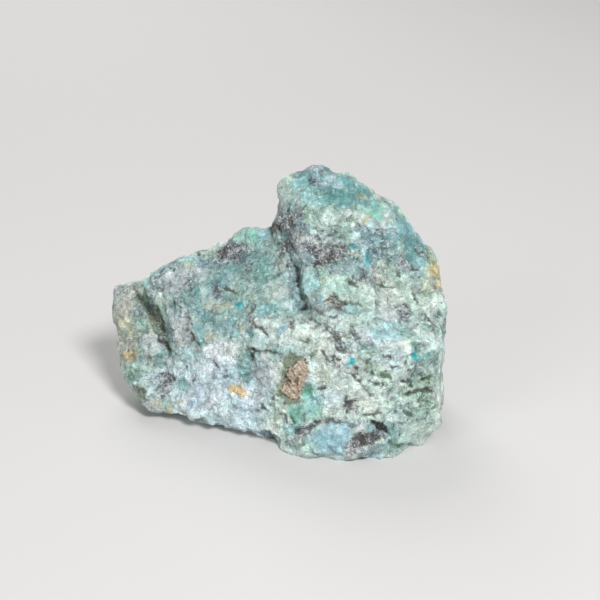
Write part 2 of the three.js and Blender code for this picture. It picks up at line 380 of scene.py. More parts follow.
# Small moves of the stone's outline: the pixel, the move right and down, and the reach, all in pixels.
GRABS = {
    "peak, left": ((283, 186), (-3.0, -0.8), 16),
    "peak, top": ((322, 165), (0.0, -2.6), 18),
    "peak, right": ((350, 177), (2.2, -3.6), 20),
    "shoulder": ((390, 197), (2.6, -4.8), 18),
    "shoulder, right": ((413, 223), (6.6, -4.6), 24),
    "right, high": ((436, 259), (-3.4, 1.0), 16),
    "right, middle": ((446, 313), (-4.4, 0.0), 24),
    "right, low": ((444, 378), (-2.4, 0.0), 28),
    "corner": ((438, 424), (13.0, 4.0), 22),
    "corner, under": ((409, 449), (0.5, -2.0), 13),
    "foot, right": ((391, 459), (0.5, 1.5), 8),
    "foot, front": ((366, 459), (0.0, -2.4), 16),
    "foot, middle": ((322, 459), (0.0, -1.6), 14),
    "foot, left": ((268, 441), (2.6, -8.0), 16),
    "belly": ((235, 430), (0.0, 1.8), 12),
    "notch": ((200, 421), (1.5, -8.5), 13),
    "left foot": ((178, 417), (-1.0, 6.0), 11),
    "left, low": ((146, 407), (2.4, -4.0), 12),
    "left, lower": ((130, 392), (-3.0, 1.8), 10),
    "left, bottom": ((122, 370), (1.6, 0.0), 14),
    "left, top": ((116, 287), (9.0, 9.0), 12),
    "left, middle": ((112, 311), (2.6, 0.0), 14),
    "wing, outer": ((190, 254), (0.8, 8.0), 22),
    "wing, middle": ((218, 245), (-1.2, -4.2), 13),
    "wing, inner": ((238, 232), (1.2, 4.2), 12),
    "saddle": ((276, 214), (2.2, 0.0), 8),
}

# Creases of the modelled stone that are softer in the photograph, or lie a little to one side: the line,
# how wide a band is smoothed, in pixels, and how fully.
SOFTENED = {
    "cleft": (CLEFT[:4], 13, 1.0),
    "cleft, low": (CLEFT[3:], 9, 0.6),
    "groove": (GROOVE_BAND, 19, 0.95),
}
BAND_HEART = 0.4    # share of a band's width that is smoothed to the full
LEVEL_BELOW = 2.5   # height in millimetres below which the moves of the outline turn level

# Rounds of smoothing: of the whole fine mesh, of those bands, and of the ground from which small crests and
# broad edges are measured.
FIRST_ROUNDS = 14
BAND_ROUNDS = 120
CREST_ROUNDS = 6
EDGE_ROUNDS = 50

# How much of each layer of the broken surface shows. In a pair, the second number is what fully broken
# ground adds.
LARGE_FACETS = 0.34
LARGE_TERRACES = (0.14, 0.18)
SMALL_TERRACES = (0.04, 0.14)
ROUGHNESS = (0.35, 0.9)
SMALL_FACETS = 0.30
CHIPPED_FACETS = 0.24
FINE_SWELL = 0.10

# Cuts and ridges along the lines: the height on the line in millimetres, how far out it reaches, and the
# share of the line over which each end runs out.
FURROWS = [
    (CLEFT_GAP, -0.3, 0.5, 0.2),
    (GROOVE, -1.1, 0.9, 0.15),
    (FOLD, -0.9, 1.1, 0.25),
    (BROW_LIP, -0.45, 0.45, 0.25),
    (BROW_EDGE, 0.35, 0.9, 0.2),
    (RIM, 0.3, 0.45, 0.1),
    (CRACK, -0.35, 0.32, 0.15),
    (SMALL_CRACK, -0.3, 0.25, 0.15),
    (LEDGE, -0.5, 0.4, 0.15),
    (FOOT_STEP, -0.45, 0.5, 0.15),
]
# In the same way, the share of all relief that is taken away along the corner, where the ground is calm.
CALM = (CORNER_EDGE, 0.7, 2.2, 0.1)
# Steps along the lines, in the same way: the ground on the right-hand side rises or, below 0, sinks.
BANKS = [
    (CLEFT, 0.6, 2.2, 0.15),
    (GROOVE[::-1], -0.5, 2.0, 0.15),
]
FURROW_UNEVEN = 0.35    # how unevenly far out a furrow reaches as it goes

# The brown inclusion: splinters side by side on a low swelling with a sunken border, in millimetres.
SPLINTERS_ACROSS = 0.75 * RIGHT + 0.66 * UP     # the way from splinter to splinter
SPLINTER_SPACING = 0.75
SPLINTER_SWAY = 2.5
SPLINTER_HEIGHT = 0.10
INCLUSION_GRAIN = 0.10
INCLUSION_RISE = 0.15
INCLUSION_BORDER = 0.35

# How far other bodies stand out of the stone, or sink into it, and how deep the dark marks are.
BODY_HEIGHTS = {"black pit": -0.3, "foot lumps": 0.35, "lump over pit": 0.3, "flake": 0.3}
MARK_DEPTH = 0.15
FOOT_RELIEF = (0.15, 0.85)  # share of the relief at the floor, and what is added
FOOT_HEIGHT = 1.5           # up to this height, in millimetres


def softened(points):
    """The points, smoothed in the bands named above."""
    smooth = mesh.smoothed(points, BAND_ROUNDS)
    moved = points.copy()
    for path, width, amount in SOFTENED.values():
        distance, _, _ = run(points, seen(path))
        hold = amount * (1 - smooth_step(BAND_HEART, 1.0, distance / (width * PIXEL)))
        moved += hold[:, None] * (smooth - points)
    return moved


def grabbed(points):
    """The points with each grab's neighbourhood carried along, and the flat base kept in its plane."""
    moved = points.copy()
    for pixel, (right, down), reach in GRABS.values():
        distance = np.linalg.norm(points - surface.at(pixel), axis=1) / (reach * PIXEL)
        hold = np.where(distance < 1, (1 - distance ** 2) ** 2, 0)[:, None]
        move = (right * RIGHT - down * UP) * PIXEL
        along_floor = np.array([move[0], -down * PIXEL / UP[1], 0])
        low = (1 - smooth_step(0.0, LEVEL_BELOW, points[:, 2]))[:, None]
        moved += hold * (move + (along_floor - move) * low)
    return moved


def terraces(points, size, octaves, height, step, riser, seed):
    """Swells cut into level treads, a step apart, with the given part of each step as its riser."""
    values = height * fractal(points, size, octaves, seed)
    level = np.floor(values / step)
    part = values / step - level
    return (level + smooth_step(1 - riser, 1, part)) * step


def ends(along, fade):
    """1 along a line and 0 at both its ends."""
    return smooth_step(0, fade, along) * smooth_step(0, fade, 1 - along)


def furrow(points, uneven, path, height, reach, fade):
    """A ridge or, where the height is negative, a cut along a path."""
    distance, along, _ = run(points, seen(path))
    return height * ends(along, fade) * np.exp(-(distance / (reach * uneven)) ** 2)


def bank(points, path, rise, reach, fade):
    """A step along a path: the ground on its right-hand side stands proud and slopes away."""
    distance, along, side = run(points, seen(path))
    return rise * ends(along, fade) * np.where(side < 0, np.exp(-(distance / reach) ** 2), 0)


def splinters(points):
    """Fine splinters side by side, each from -1 to 1."""
    across = warped(points, size=1.2, amount=0.35, seed=82) @ SPLINTERS_ACROSS
    return np.sin(across * math.tau / SPLINTER_SPACING + SPLINTER_SWAY * noise(points, size=1.6, seed=81))


def relief(points, broken, amounts, mark):
    """How far each point of the smooth stone is pushed out along its normal."""
    loose = warped(points, size=4.0, amount=1.4, seed=3)
    close = warped(points, size=1.6, amount=0.5, seed=5)
    chipped = warped(points, size=0.9, amount=0.3, seed=6)
    rough = scaled(ROUGHNESS, broken)
    large = terraces(loose, size=7.0, octaves=3, height=2.2, step=0.7, riser=0.30, seed=15)
    small = terraces(close, size=3.2, octaves=2, height=2.0, step=0.6, riser=0.35, seed=16)
    height = LARGE_FACETS * facets(loose, size=8.0, tilt=0.24, bevel=20, seed=11)
    height += scaled(LARGE_TERRACES, broken) * large
    height += scaled(SMALL_TERRACES, broken) * small
    height += rough * SMALL_FACETS * facets(close, size=3.0, tilt=0.34, bevel=22, seed=12)
    height += rough * CHIPPED_FACETS * facets(chipped, size=1.35, tilt=0.42, bevel=16, seed=13)
    height += rough * FINE_SWELL * fractal(points, size=0.85, octaves=2, seed=21)
    uneven = 1 + FURROW_UNEVEN * noise(points, size=1.3, seed=71)
    for row in FURROWS:
        height += furrow(points, uneven, *row)
    for row in BANKS:
        height += bank(points, *row)
    height *= 1 - furrow(points, uneven, *CALM)

    inclusion = amounts["inclusion"]
    grain = INCLUSION_GRAIN * noise(points, size=0.8, seed=83)
    height += inclusion * (SPLINTER_HEIGHT * splinters(points) + grain + INCLUSION_RISE)
    height -= INCLUSION_BORDER * inclusion * (1 - inclusion) * 4
    for name, rise in BODY_HEIGHTS.items():
        height += rise * amounts[name]
    return height - MARK_DEPTH * mark


stone = fine_copy()
mesh = Mesh(stone)
base = mesh.points[:, 2] < VOXEL / 2
mesh.points = mesh.smoothed(mesh.points, FIRST_ROUNDS)
mesh.points[base, 2] = 0
surface = Surface(mesh.points, mesh.faces)
mesh.points = softened(grabbed(mesh.points))
mesh.points[base, 2] = 0
normals = mesh.normals()
smooth_points = mesh.points.copy()
surface = Surface(smooth_points, mesh.faces)


# ---------------------------------------------------------------- minerals
def linear(rgb):
    """Colour values of 0 to 255, as seen on a screen, as light; the numbers are the sRGB standard's."""
    c = np.array(rgb) / 255
    return np.where(c < 0.04045, c / 12.92, ((c + 0.055) / 1.055) ** 2.4)


# Each mineral's colour, its shares of dark and of white grains, how broken its surface is, and how softly
# it runs into its neighbours; all but the colour go from 0 to 1.
MINERALS = {
    "teal": ((129, 170, 169), 0.26, 0.34, 0.80, 0.5),
    "deep teal": ((78, 142, 144), 0.14, 0.25, 0.50, 0.3),
    "steel": ((122, 152, 160), 0.34, 0.42, 0.75, 0.5),
    "aqua": ((142, 190, 193), 0.12, 0.38, 0.50, 0.4),
    "mint": ((168, 196, 184), 0.22, 0.34, 0.75, 0.5),
    "pale": ((194, 212, 205), 0.10, 0.30, 0.40, 0.3),
    "sage": ((162, 189, 174), 0.42, 0.22, 0.55, 0.5),
    "ice": ((208, 232, 238), 0.12, 0.50, 0.85, 0.5),
    "sky": ((131, 171, 184), 0.10, 0.16, 0.28, 0.3),
    "quartz": ((213, 228, 222), 0.15, 0.45, 0.65, 0.6),
    "snow": ((238, 246, 246), 0.08, 0.60, 0.90, 0.6),
    "lilac": ((188, 198, 201), 0.22, 0.45, 0.75, 0.5),
    "putty": ((166, 170, 152), 0.34, 0.35, 0.70, 0.5),
    "grit": ((134, 144, 148), 0.66, 0.70, 1.00, 0.8),
    "shale": ((94, 97, 100), 0.80, 0.50, 1.00, 0.6),
    "umber": ((94, 88, 80), 0.70, 0.35, 0.90, 0.5),
    "black": ((66, 70, 70), 0.60, 0.30, 1.00, 0.4),
    "olive": ((118, 130, 102), 0.45, 0.15, 0.55, 0.6),
    "green": ((60, 112, 80), 0.30, 0.10, 0.55, 0.5),
    "malachite": ((118, 188, 170), 0.10, 0.20, 0.45, 0.5),
    "ochre": ((196, 174, 124), 0.30, 0.25, 0.55, 0.6),
    "cream": ((194, 194, 164), 0.15, 0.30, 0.55, 0.5),
    "tan": ((176, 160, 138), 0.40, 0.30, 0.60, 0.1),
    "gem": ((6, 148, 162), 0.00, 0.00, 0.30, 0.1),
}

# The minerals whose colour shifts least from piece to piece.
WARM = ("ochre", "cream", "tan", "gem")

# The dark minerals whose strokes the material draws sharply, and the one whose outlines it draws so too;
# some of these strokes are painted shadow along creases.
INKED = ("umber", "shale", "black", "green")
INKED_OUTLINES = ("black",)
INK_REACH = 0.8     # millimetres over which a mark's depth runs from 0 to 1

# What lies where: the mineral, the pixel at its middle, its half width and height in pixels, how far it
# is turned, and how purely it shows.
PATCHES = {
    # broad zones
    "wing top": ("teal", (220, 286), (78, 34), 22, 0.8),
    "wing outer": ("grit", (166, 283), (30, 13), 25, 0.6),
    "left end": ("putty", (128, 328), (32, 44), 0, 0.8),
    "wing front": ("ice", (215, 390), (66, 40), -8, 1.0),
    "middle slope": ("mint", (372, 300), (74, 36), 0, 0.8),
    "slope pale": ("pale", (372, 300), (64, 28), -6, 0.6),
    "pale front": ("quartz", (330, 378), (66, 44), 0, 0.7),
    "brow": ("quartz", (300, 334), (58, 12), -4, 0.9),
    "sage corner": ("sage", (420, 404), (30, 44), 0, 0.85),
    "corner, low": ("pale", (418, 434), (22, 12), 10, 0.6),
    "foot": ("mint", (300, 443), (26, 12), -10, 0.5),

    # the peak
    "peak face": ("teal", (326, 192), (52, 22), -14, 0.9),
    "peak face, deep": ("deep teal", (334, 189), (44, 15), -14, 0.5),
    "peak corner": ("mint", (286, 186), (8, 13), 5, 0.9),
    "peak corner grain": ("quartz", (285, 199), (7, 9), 0, 0.6),
    "peak side": ("grit", (290, 222), (13, 18), 0, 0.9),
    "peak side blue": ("steel", (302, 224), (8, 11), 10, 0.7),
    "peak bright": ("aqua", (301, 184), (8, 8), -20, 0.7),
    "peak cap": ("steel", (317, 182), (10, 6), -30, 0.9),
    "peak cap dark": ("shale", (314, 180), (6, 4), -20, 0.3),
    "peak crown": ("steel", (322, 169), (12, 5), -10, 0.6),
    "peak strokes": ("ice", (333, 182), (11, 6), -25, 0.6),
    "peak edge": ("deep teal", (355, 186), (17, 7), -32, 0.7),
    "peak deep": ("deep teal", (341, 199), (15, 7), -8, 0.8),
    "peak light": ("aqua", (312, 200), (14, 6), -5, 0.7),
    "peak mint": ("mint", (328, 219), (26, 10), -12, 0.95),
    "peak pale": ("pale", (330, 217), (8, 8), -10, 0.55),
    "peak pale right": ("pale", (350, 214), (8, 4), 10, 0.7),
    "peak sand": ("cream", (362, 197), (7, 4), -10, 0.5),
    "peak lower": ("mint", (340, 232), (16, 6), -15, 0.8),
    # The three hollow patches are grey grit and partly painted shade in the peak's hollow.
    "hollow": ("grit", (320, 252), (28, 14), -8, 1.0),
    "hollow dark": ("shale", (325, 250), (18, 9), -10, 0.7),
    "hollow low": ("shale", (318, 264), (6, 8), 20, 0.5),
    "hollow blue": ("steel", (305, 257), (8, 9), 0, 0.7),
    "below hollow": ("steel", (348, 268), (17, 8), -10, 0.7),
    "cream streak": ("cream", (368, 216), (3.5, 9), -30, 0.9),
    "ridge": ("quartz", (384, 218), (13, 10), -42, 0.25),
    "gem, peak": ("malachite", (377, 208), (9, 9), -25, 0.9),
    "gem heart": ("deep teal", (376, 206), (5, 6), -25, 0.5),
    "ridge grit": ("grit", (374, 240), (16, 13), -35, 0.35),
    "ridge aqua": ("aqua", (388, 244), (10, 9), -20, 0.4),
    "right shoulder": ("deep teal", (410, 240), (13, 27), 28, 0.8),
    "shoulder bright": ("aqua", (416, 263), (5, 6), 20, 0.5),
    "shoulder dark": ("grit", (420, 254), (4.5, 4), 0, 0.8),
    "right edge": ("olive", (431, 260), (5, 11), 25, 0.65),
    "ochre right": ("ochre", (437, 278), (8, 13), 10, 0.85),
    "ochre right halo": ("cream", (430, 283), (9, 13), 10, 0.4),
    "slope aqua, high": ("aqua", (334, 284), (20, 8), -10, 0.35),
    "slope lilac": ("lilac", (391, 297), (12, 9), -15, 0.4),
    "slope mint": ("mint", (404, 276), (15, 10), -5, 0.6),
    "slope brown": ("grit", (366, 279), (17, 7), -8, 0.6),

    # the cleft and the flake beside it
    "saddle": ("umber", (277, 229), (6, 10), 10, 0.8),
    "cleft top": ("umber", (286, 246), (6, 14), -25, 0.35),
    "flake corner": ("mint", (321, 285), (6, 8), 0, 0.7),
    "cleft end": ("steel", (298, 304), (6, 4), -25, 0.5),

    # the wing
    "lump": ("malachite", (247, 237), (14, 9), 10, 0.6),
    "lump end": ("aqua", (264, 236), (6, 6), 10, 0.8),
    "sparkling patch": ("grit", (232, 251), (17, 10), 28, 0.95),
    "sparkling dark": ("shale", (224, 251), (7, 6), 30, 0.8),
    "wing edge sage": ("mint", (209, 251), (11, 6), 30, 0.7),
    "wing edge steel": ("steel", (206, 262), (9, 6), 20, 0.8),
    "wing edge cream": ("cream", (187, 269), (10, 7), 20, 0.7),
    "wing edge grey": ("steel", (165, 268), (9, 3), 25, 0.7),
    "white ridge": ("snow", (168, 277), (10, 3), 28, 0.7),
    "wing outer light": ("lilac", (180, 279), (27, 10), 24, 0.7),
    "groove bank": ("pale", (166, 310), (7, 22), 25, 0.6),
    "wing tip pale": ("pale", (162, 296), (13, 6), -10, 0.6),
    "wing sage": ("sage", (217, 305), (17, 6), 0, 0.7),
    "wing green": ("malachite", (265, 269), (9, 7), 0, 0.35),
    "wing steel": ("steel", (249, 258), (11, 8), 20, 0.6),
    "wing pale": ("pale", (276, 288), (12, 9), 0, 0.7),
    "wing blue": ("steel", (171, 309), (13, 5), -8, 0.7),
    "wing break": ("lilac", (178, 326), (10, 21), 35, 0.8),
    "wing break grit": ("grit", (186, 320), (6, 12), 35, 0.4),
    "wing teal": ("deep teal", (201, 324), (11, 10), 0, 0.35),
    "wing ochre": ("cream", (214, 337), (11, 5), 10, 0.6),
    "wing mint": ("mint", (240, 294), (16, 8), -10, 0.6),
    "wing pale, right": ("pale", (286, 300), (12, 10), 0, 0.5),
    "wing mint, low": ("mint", (288, 313), (10, 6), 0, 0.6),
    "wing cream": ("cream", (241, 328), (9, 4), -30, 0.6),
    "wing pale, left": ("pale", (205, 292), (8, 8), 0, 0.4),
    "wing aqua, low": ("aqua", (226, 331), (20, 8), 0, 0.5),
    "tip sage": ("sage", (162, 300), (13, 6), 10, 0.4),
    "blob": ("snow", (224, 351), (17, 13), -8, 0.8),
    "blob heart": ("snow", (222, 352), (13, 10), -8, 1.0),
    "mint chip, brow": ("pale", (302, 319), (7, 5), 0, 0.7),

    # the left end
    "left tip": ("grit", (122, 293), (12, 9), 35, 0.6),
    "left lilac": ("steel", (139, 312), (9, 10), 0, 0.5),
    "left yellow": ("cream", (124, 326), (7, 8), 0, 0.6),
    "left green": ("malachite", (143, 324), (9, 5), -30, 0.35),
    "left stripes": ("lilac", (153, 342), (12, 7), -5, 0.7),
    "ochre left": ("ochre", (131, 354), (9, 6), 10, 0.75),
    "left mint": ("mint", (138, 369), (16, 8), 12, 0.95),
    "left teal": ("teal", (160, 360), (6, 8), 0, 0.7),
    "left dark edge": ("green", (131, 377), (5, 8), 20, 0.6),
    "left brown edge": ("olive", (139, 393), (9, 8), -40, 0.95),
    "left grit": ("grit", (168, 378), (10, 6), 0, 0.9),
    "left grit, low": ("grit", (163, 389), (9, 8), -30, 0.7),
    "foot mint": ("mint", (164, 405), (11, 7), 0, 0.8),
    "ochre foot": ("ochre", (169, 410), (5, 4), 0, 0.8),
    "ochre foot left": ("ochre", (155, 405), (7, 4.5), -30, 0.55),
    "foot cream": ("cream", (181, 404), (6, 4), 20, 0.5),
    "foot grey": ("lilac", (184, 413), (5, 4), 20, 0.8),

    # the white front of the wing
    "front lilac": ("lilac", (185, 348), (11, 10), 0, 0.4),
    "front sky": ("sky", (197, 354), (4.5, 3.5), 0, 0.5),
    "front blue": ("sky", (237, 407), (12, 8), 0, 0.45),
    "front cyan": ("aqua", (212, 417), (9, 7), -25, 0.4),
    "front grey": ("lilac", (211, 402), (8, 7), 0, 0.3),
    # Teal in the fold, partly painted shade in its recess.
    "fold": ("teal", (244, 370), (6, 13), 12, 0.75),
    "bump": ("lilac", (264, 370), (11, 17), 8, 0.75),
    "bump, low": ("lilac", (262, 394), (9, 11), 0, 0.5),

    # round the brown inclusion
    "green stain": ("malachite", (311, 393), (7, 9), -10, 0.65),
    "green spot": ("green", (306.5, 391), (5, 9), -15, 0.8),
    "cyan tail": ("malachite", (309, 406), (15, 12), 35, 0.8),
    "green tail": ("malachite", (296, 415), (13, 9), 30, 0.8),
    "green tail deep": ("green", (297, 416), (9, 6), 40, 0.4),
    "sage by tail": ("sage", (280, 409), (10, 12), 0, 0.8),
    "striped blue": ("ice", (331, 402), (14, 9), 0, 0.8),

    # the foot
    "foot edge": ("snow", (270, 431), (12, 5), -30, 0.6),
    "foot steel": ("steel", (362, 430), (24, 10), 5, 0.55),
    "foot teal": ("steel", (369, 452), (14, 5), 5, 0.7),
    "foot right": ("mint", (396, 451), (12, 7), 25, 0.8),
    "foot pale": ("pale", (281, 437), (8, 5), -20, 0.6),

    # the pale front's dark spots and green chips
    "slope grit": ("grit", (331, 306), (18, 6), -14, 0.45),
    "slope aqua": ("aqua", (352, 311), (9, 6), 0, 0.7),
    "slope blue": ("lilac", (386, 314), (14, 7), -12, 0.7),
    "slope right": ("quartz", (432, 312), (13, 13), 0, 0.75),
    "olive chip": ("olive", (314, 353), (5, 4), 20, 0.7),
    "olive band": ("olive", (372, 370), (17, 6), -35, 0.5),
    "front pink": ("quartz", (383, 404), (16, 10), 0, 0.7),
    "blue shade": ("ice", (393, 360), (9, 11), 0, 0.8),
    "white spot": ("pale", (432, 368), (3, 3), 0, 0.9),
    "front cream": ("cream", (322, 376), (8, 9), 0, 0.4),
    "front shade": ("grit", (349, 366), (8, 6), 0, 0.4),
    "corner pink": ("lilac", (402, 410), (8, 12), 0, 0.45),
    "lump over pit": ("quartz", (390, 417), (8, 5), 0, 0.8),
    "green shade, right": ("olive", (434, 358), (5, 8), 0, 0.4),

    "speck small": ("malachite", (304, 330), (3, 1.6), 0, 0.9),
}

# Bodies with a sharp outline, a few of them painted shade in a crease: the mineral, how purely it shows,
# and the outline's pixels.
OUTLINES = {
    # the peak and the cleft
    "hollow deep": ("deep teal", 0.9, [(346, 244), (357, 243), (359, 247), (353, 251), (348, 250)]),
    "hollow chip": ("pale", 0.8, [(350, 252), (357, 250), (355, 256)]),
    "cleft shadow": ("steel", 0.5, [
        (289, 264), (296, 264), (302, 274), (301, 296), (304, 305), (301, 311), (294, 307), (290, 298)]),
    "cleft dark": ("umber", 0.35, [(290, 266), (296, 267), (299, 275), (296, 285), (292, 280)]),
    "cleft dot": ("black", 1.0, [(300, 309), (303, 303), (307, 309.5), (304, 311.5)]),
    "flake": ("aqua", 0.9, [
        (301, 273), (309, 273), (316, 277), (320, 285), (318, 291), (304, 294), (302, 287)]),
    "blue tag": ("sky", 0.8, [(318, 294), (324, 296), (324, 304), (320, 307), (317, 302)]),
    "brown wedge": ("umber", 0.6, [(328, 299), (333, 293), (337, 299), (333, 304)]),
    "brown patch": ("putty", 0.5, [(372, 273), (382, 274), (384, 283), (376, 285), (371, 280)]),
    "slope purple": ("grit", 0.8, [
        (396, 305), (403, 301), (408, 304), (412, 312), (409, 320), (402, 319), (397, 313)]),
    "slope green": ("green", 0.4, [(420, 292), (425, 289), (434, 294), (432, 299), (426, 300)]),

    # the wing
    "wing stripe": ("deep teal", 0.5, [(192, 284), (199, 285), (201, 298), (198, 300), (193, 293)]),
    "wing grit": ("grit", 0.8, [(211, 292), (215, 283), (222, 287), (220, 298), (213, 298)]),
    "wing sage pale": ("cream", 0.4, [
        (204, 303), (212, 299), (232, 303), (234, 308), (226, 311), (206, 311)]),
    "wing deep": ("deep teal", 0.3, [
        (204, 313), (214, 312), (224, 317), (236, 320), (236, 328), (216, 329), (208, 325)]),
    "wing aqua": ("aqua", 0.7, [(190, 323), (198, 322), (206, 328), (206, 337), (200, 338), (194, 332)]),
    "aqua plate": ("aqua", 0.7, [(258, 309), (268, 306), (271, 313), (264, 319), (256, 318)]),
    "aqua plate, low": ("ice", 0.5, [(258, 321), (268, 318), (272, 326), (264, 327)]),
    "teal chip": ("deep teal", 0.8, [
        (247, 334), (248, 330), (252, 329), (255, 333), (254, 337), (251, 338)]),
    "blue chip": ("sky", 0.8, [(276, 330), (282, 326), (287, 322), (288, 327), (285, 333), (278, 334)]),
    "grey chip": ("grit", 0.7, [(289, 322), (292, 316), (296, 322), (295, 332), (289, 333)]),
    "groove shade": ("olive", 0.5, [
        (137, 291), (143, 292), (152, 303), (158, 314), (163, 325), (167, 336), (169, 350), (165, 350),
        (159, 340), (154, 328), (148, 316), (141, 303)]),
    "wing teal, low": ("deep teal", 0.7, [
        (178, 378), (187, 380), (190, 386), (187, 391), (180, 391), (176, 386)]),
    "ochre wing": ("ochre", 0.9, [
        (226, 389), (231, 383), (240, 384), (246, 391), (246, 398), (238, 396), (229, 394)]),
    # Teal in the fold, partly painted shade in its recess.
    "fold": ("teal", 0.8, [
        (241, 350), (248, 353), (251, 364), (250, 373), (248, 383), (242, 382), (239, 372), (241, 361)]),

    # round the brown inclusion
    "green halo": ("olive", 0.85, [
        (283, 359), (290, 352), (297, 353), (304, 360), (296, 366), (291, 370), (287, 380), (281, 384),
        (282, 370)]),
    "inclusion rim": ("olive", 0.5, [
        (285, 368), (297, 362), (290, 388), (300, 399), (304, 402), (296, 404), (286, 402), (279, 391),
        (281, 380)]),
    "inclusion": ("tan", 1.0, [
        (298, 360), (308, 361), (308, 373), (305, 383), (301, 391), (298, 401), (288, 400), (281, 391),
        (286, 378), (287, 369), (293, 366)]),
    "cyan heart": ("aqua", 0.7, [(306, 399), (314, 395), (323, 398), (321, 405), (313, 414), (306, 412)]),

    # the front
    "smooth aqua": ("aqua", 0.5, [
        (367, 335), (374, 329), (385, 322), (396, 320), (407, 325), (410, 334), (407, 340), (394, 342),
        (382, 343), (373, 340)]),
    "smooth mint": ("pale", 0.7, [
        (409, 339), (415, 332), (425, 330), (435, 333), (443, 341), (443, 350), (430, 346)]),
    "corner band": ("snow", 0.6, [
        (440, 338), (446, 342), (446, 400), (446, 426), (439.5, 421), (441, 395), (439.5, 370)]),
    "row of shade": ("grit", 0.8, [(386, 391), (391, 390), (393, 400), (387, 401)]),

    # the foot
    "blue patch": ("sky", 0.75, [
        (310, 434), (318, 430), (323, 427), (329, 423), (337, 421.5), (346, 423), (350, 430), (354, 437),
        (348, 443), (344, 449), (336, 451), (328, 454), (320, 454), (311, 442)]),
    "foot arc": ("grit", 0.9, [
        (296, 431), (303, 427), (311, 423), (318, 421), (322, 423), (312, 429), (307, 434), (304, 440),
        (297, 439)]),
    "foot grains": ("grit", 1.0, [
        (347, 444), (352, 437), (358, 433), (372, 430), (384, 433), (382, 438), (376, 440), (372, 446),
        (362, 449), (350, 455), (346, 451)]),
    "foot grains dark": ("shale", 0.9, [
        (357, 437), (364, 432), (374, 431), (379, 436), (371, 443), (362, 445)]),
    "black pit": ("black", 1.0, [
        (370.5, 421), (376, 421.5), (382, 422), (386, 425.5), (389, 433), (383, 432), (377, 430),
        (374, 426)]),
    "pale chip": ("snow", 0.7, [(356, 429), (361, 425), (365, 424), (364, 431), (359, 432.5)]),
    "blue chip, foot": ("sky", 0.9, [(364.5, 424), (369, 423), (373, 427), (370, 431), (366, 431)]),
    "foot lumps": ("quartz", 0.8, [(374, 440), (380, 437.5), (388, 437), (386, 441), (379, 443.5)]),

    # the bright specks
    "speck wing": ("gem", 1.0, [
        (235, 303.5), (238, 301), (241, 302), (244, 300.5), (242, 304.5), (239.5, 308.5), (236.5, 306.5)]),
    "speck middle": ("gem", 1.0, [
        (351, 356.5), (354, 358), (354, 363.5), (351, 366), (346, 365), (346.5, 362), (349, 360.5)]),
    "speck right": ("gem", 0.95, [
        (414.5, 348), (416.5, 349.5), (416, 354), (418.5, 359), (417.5, 361.5), (414, 360), (410.5, 356),
        (411, 353), (413.5, 352)]),
    "speck high": ("gem", 0.9, [
        (365.5, 253), (368, 256), (369, 262), (367, 266), (365, 262), (364.5, 257)]),
}
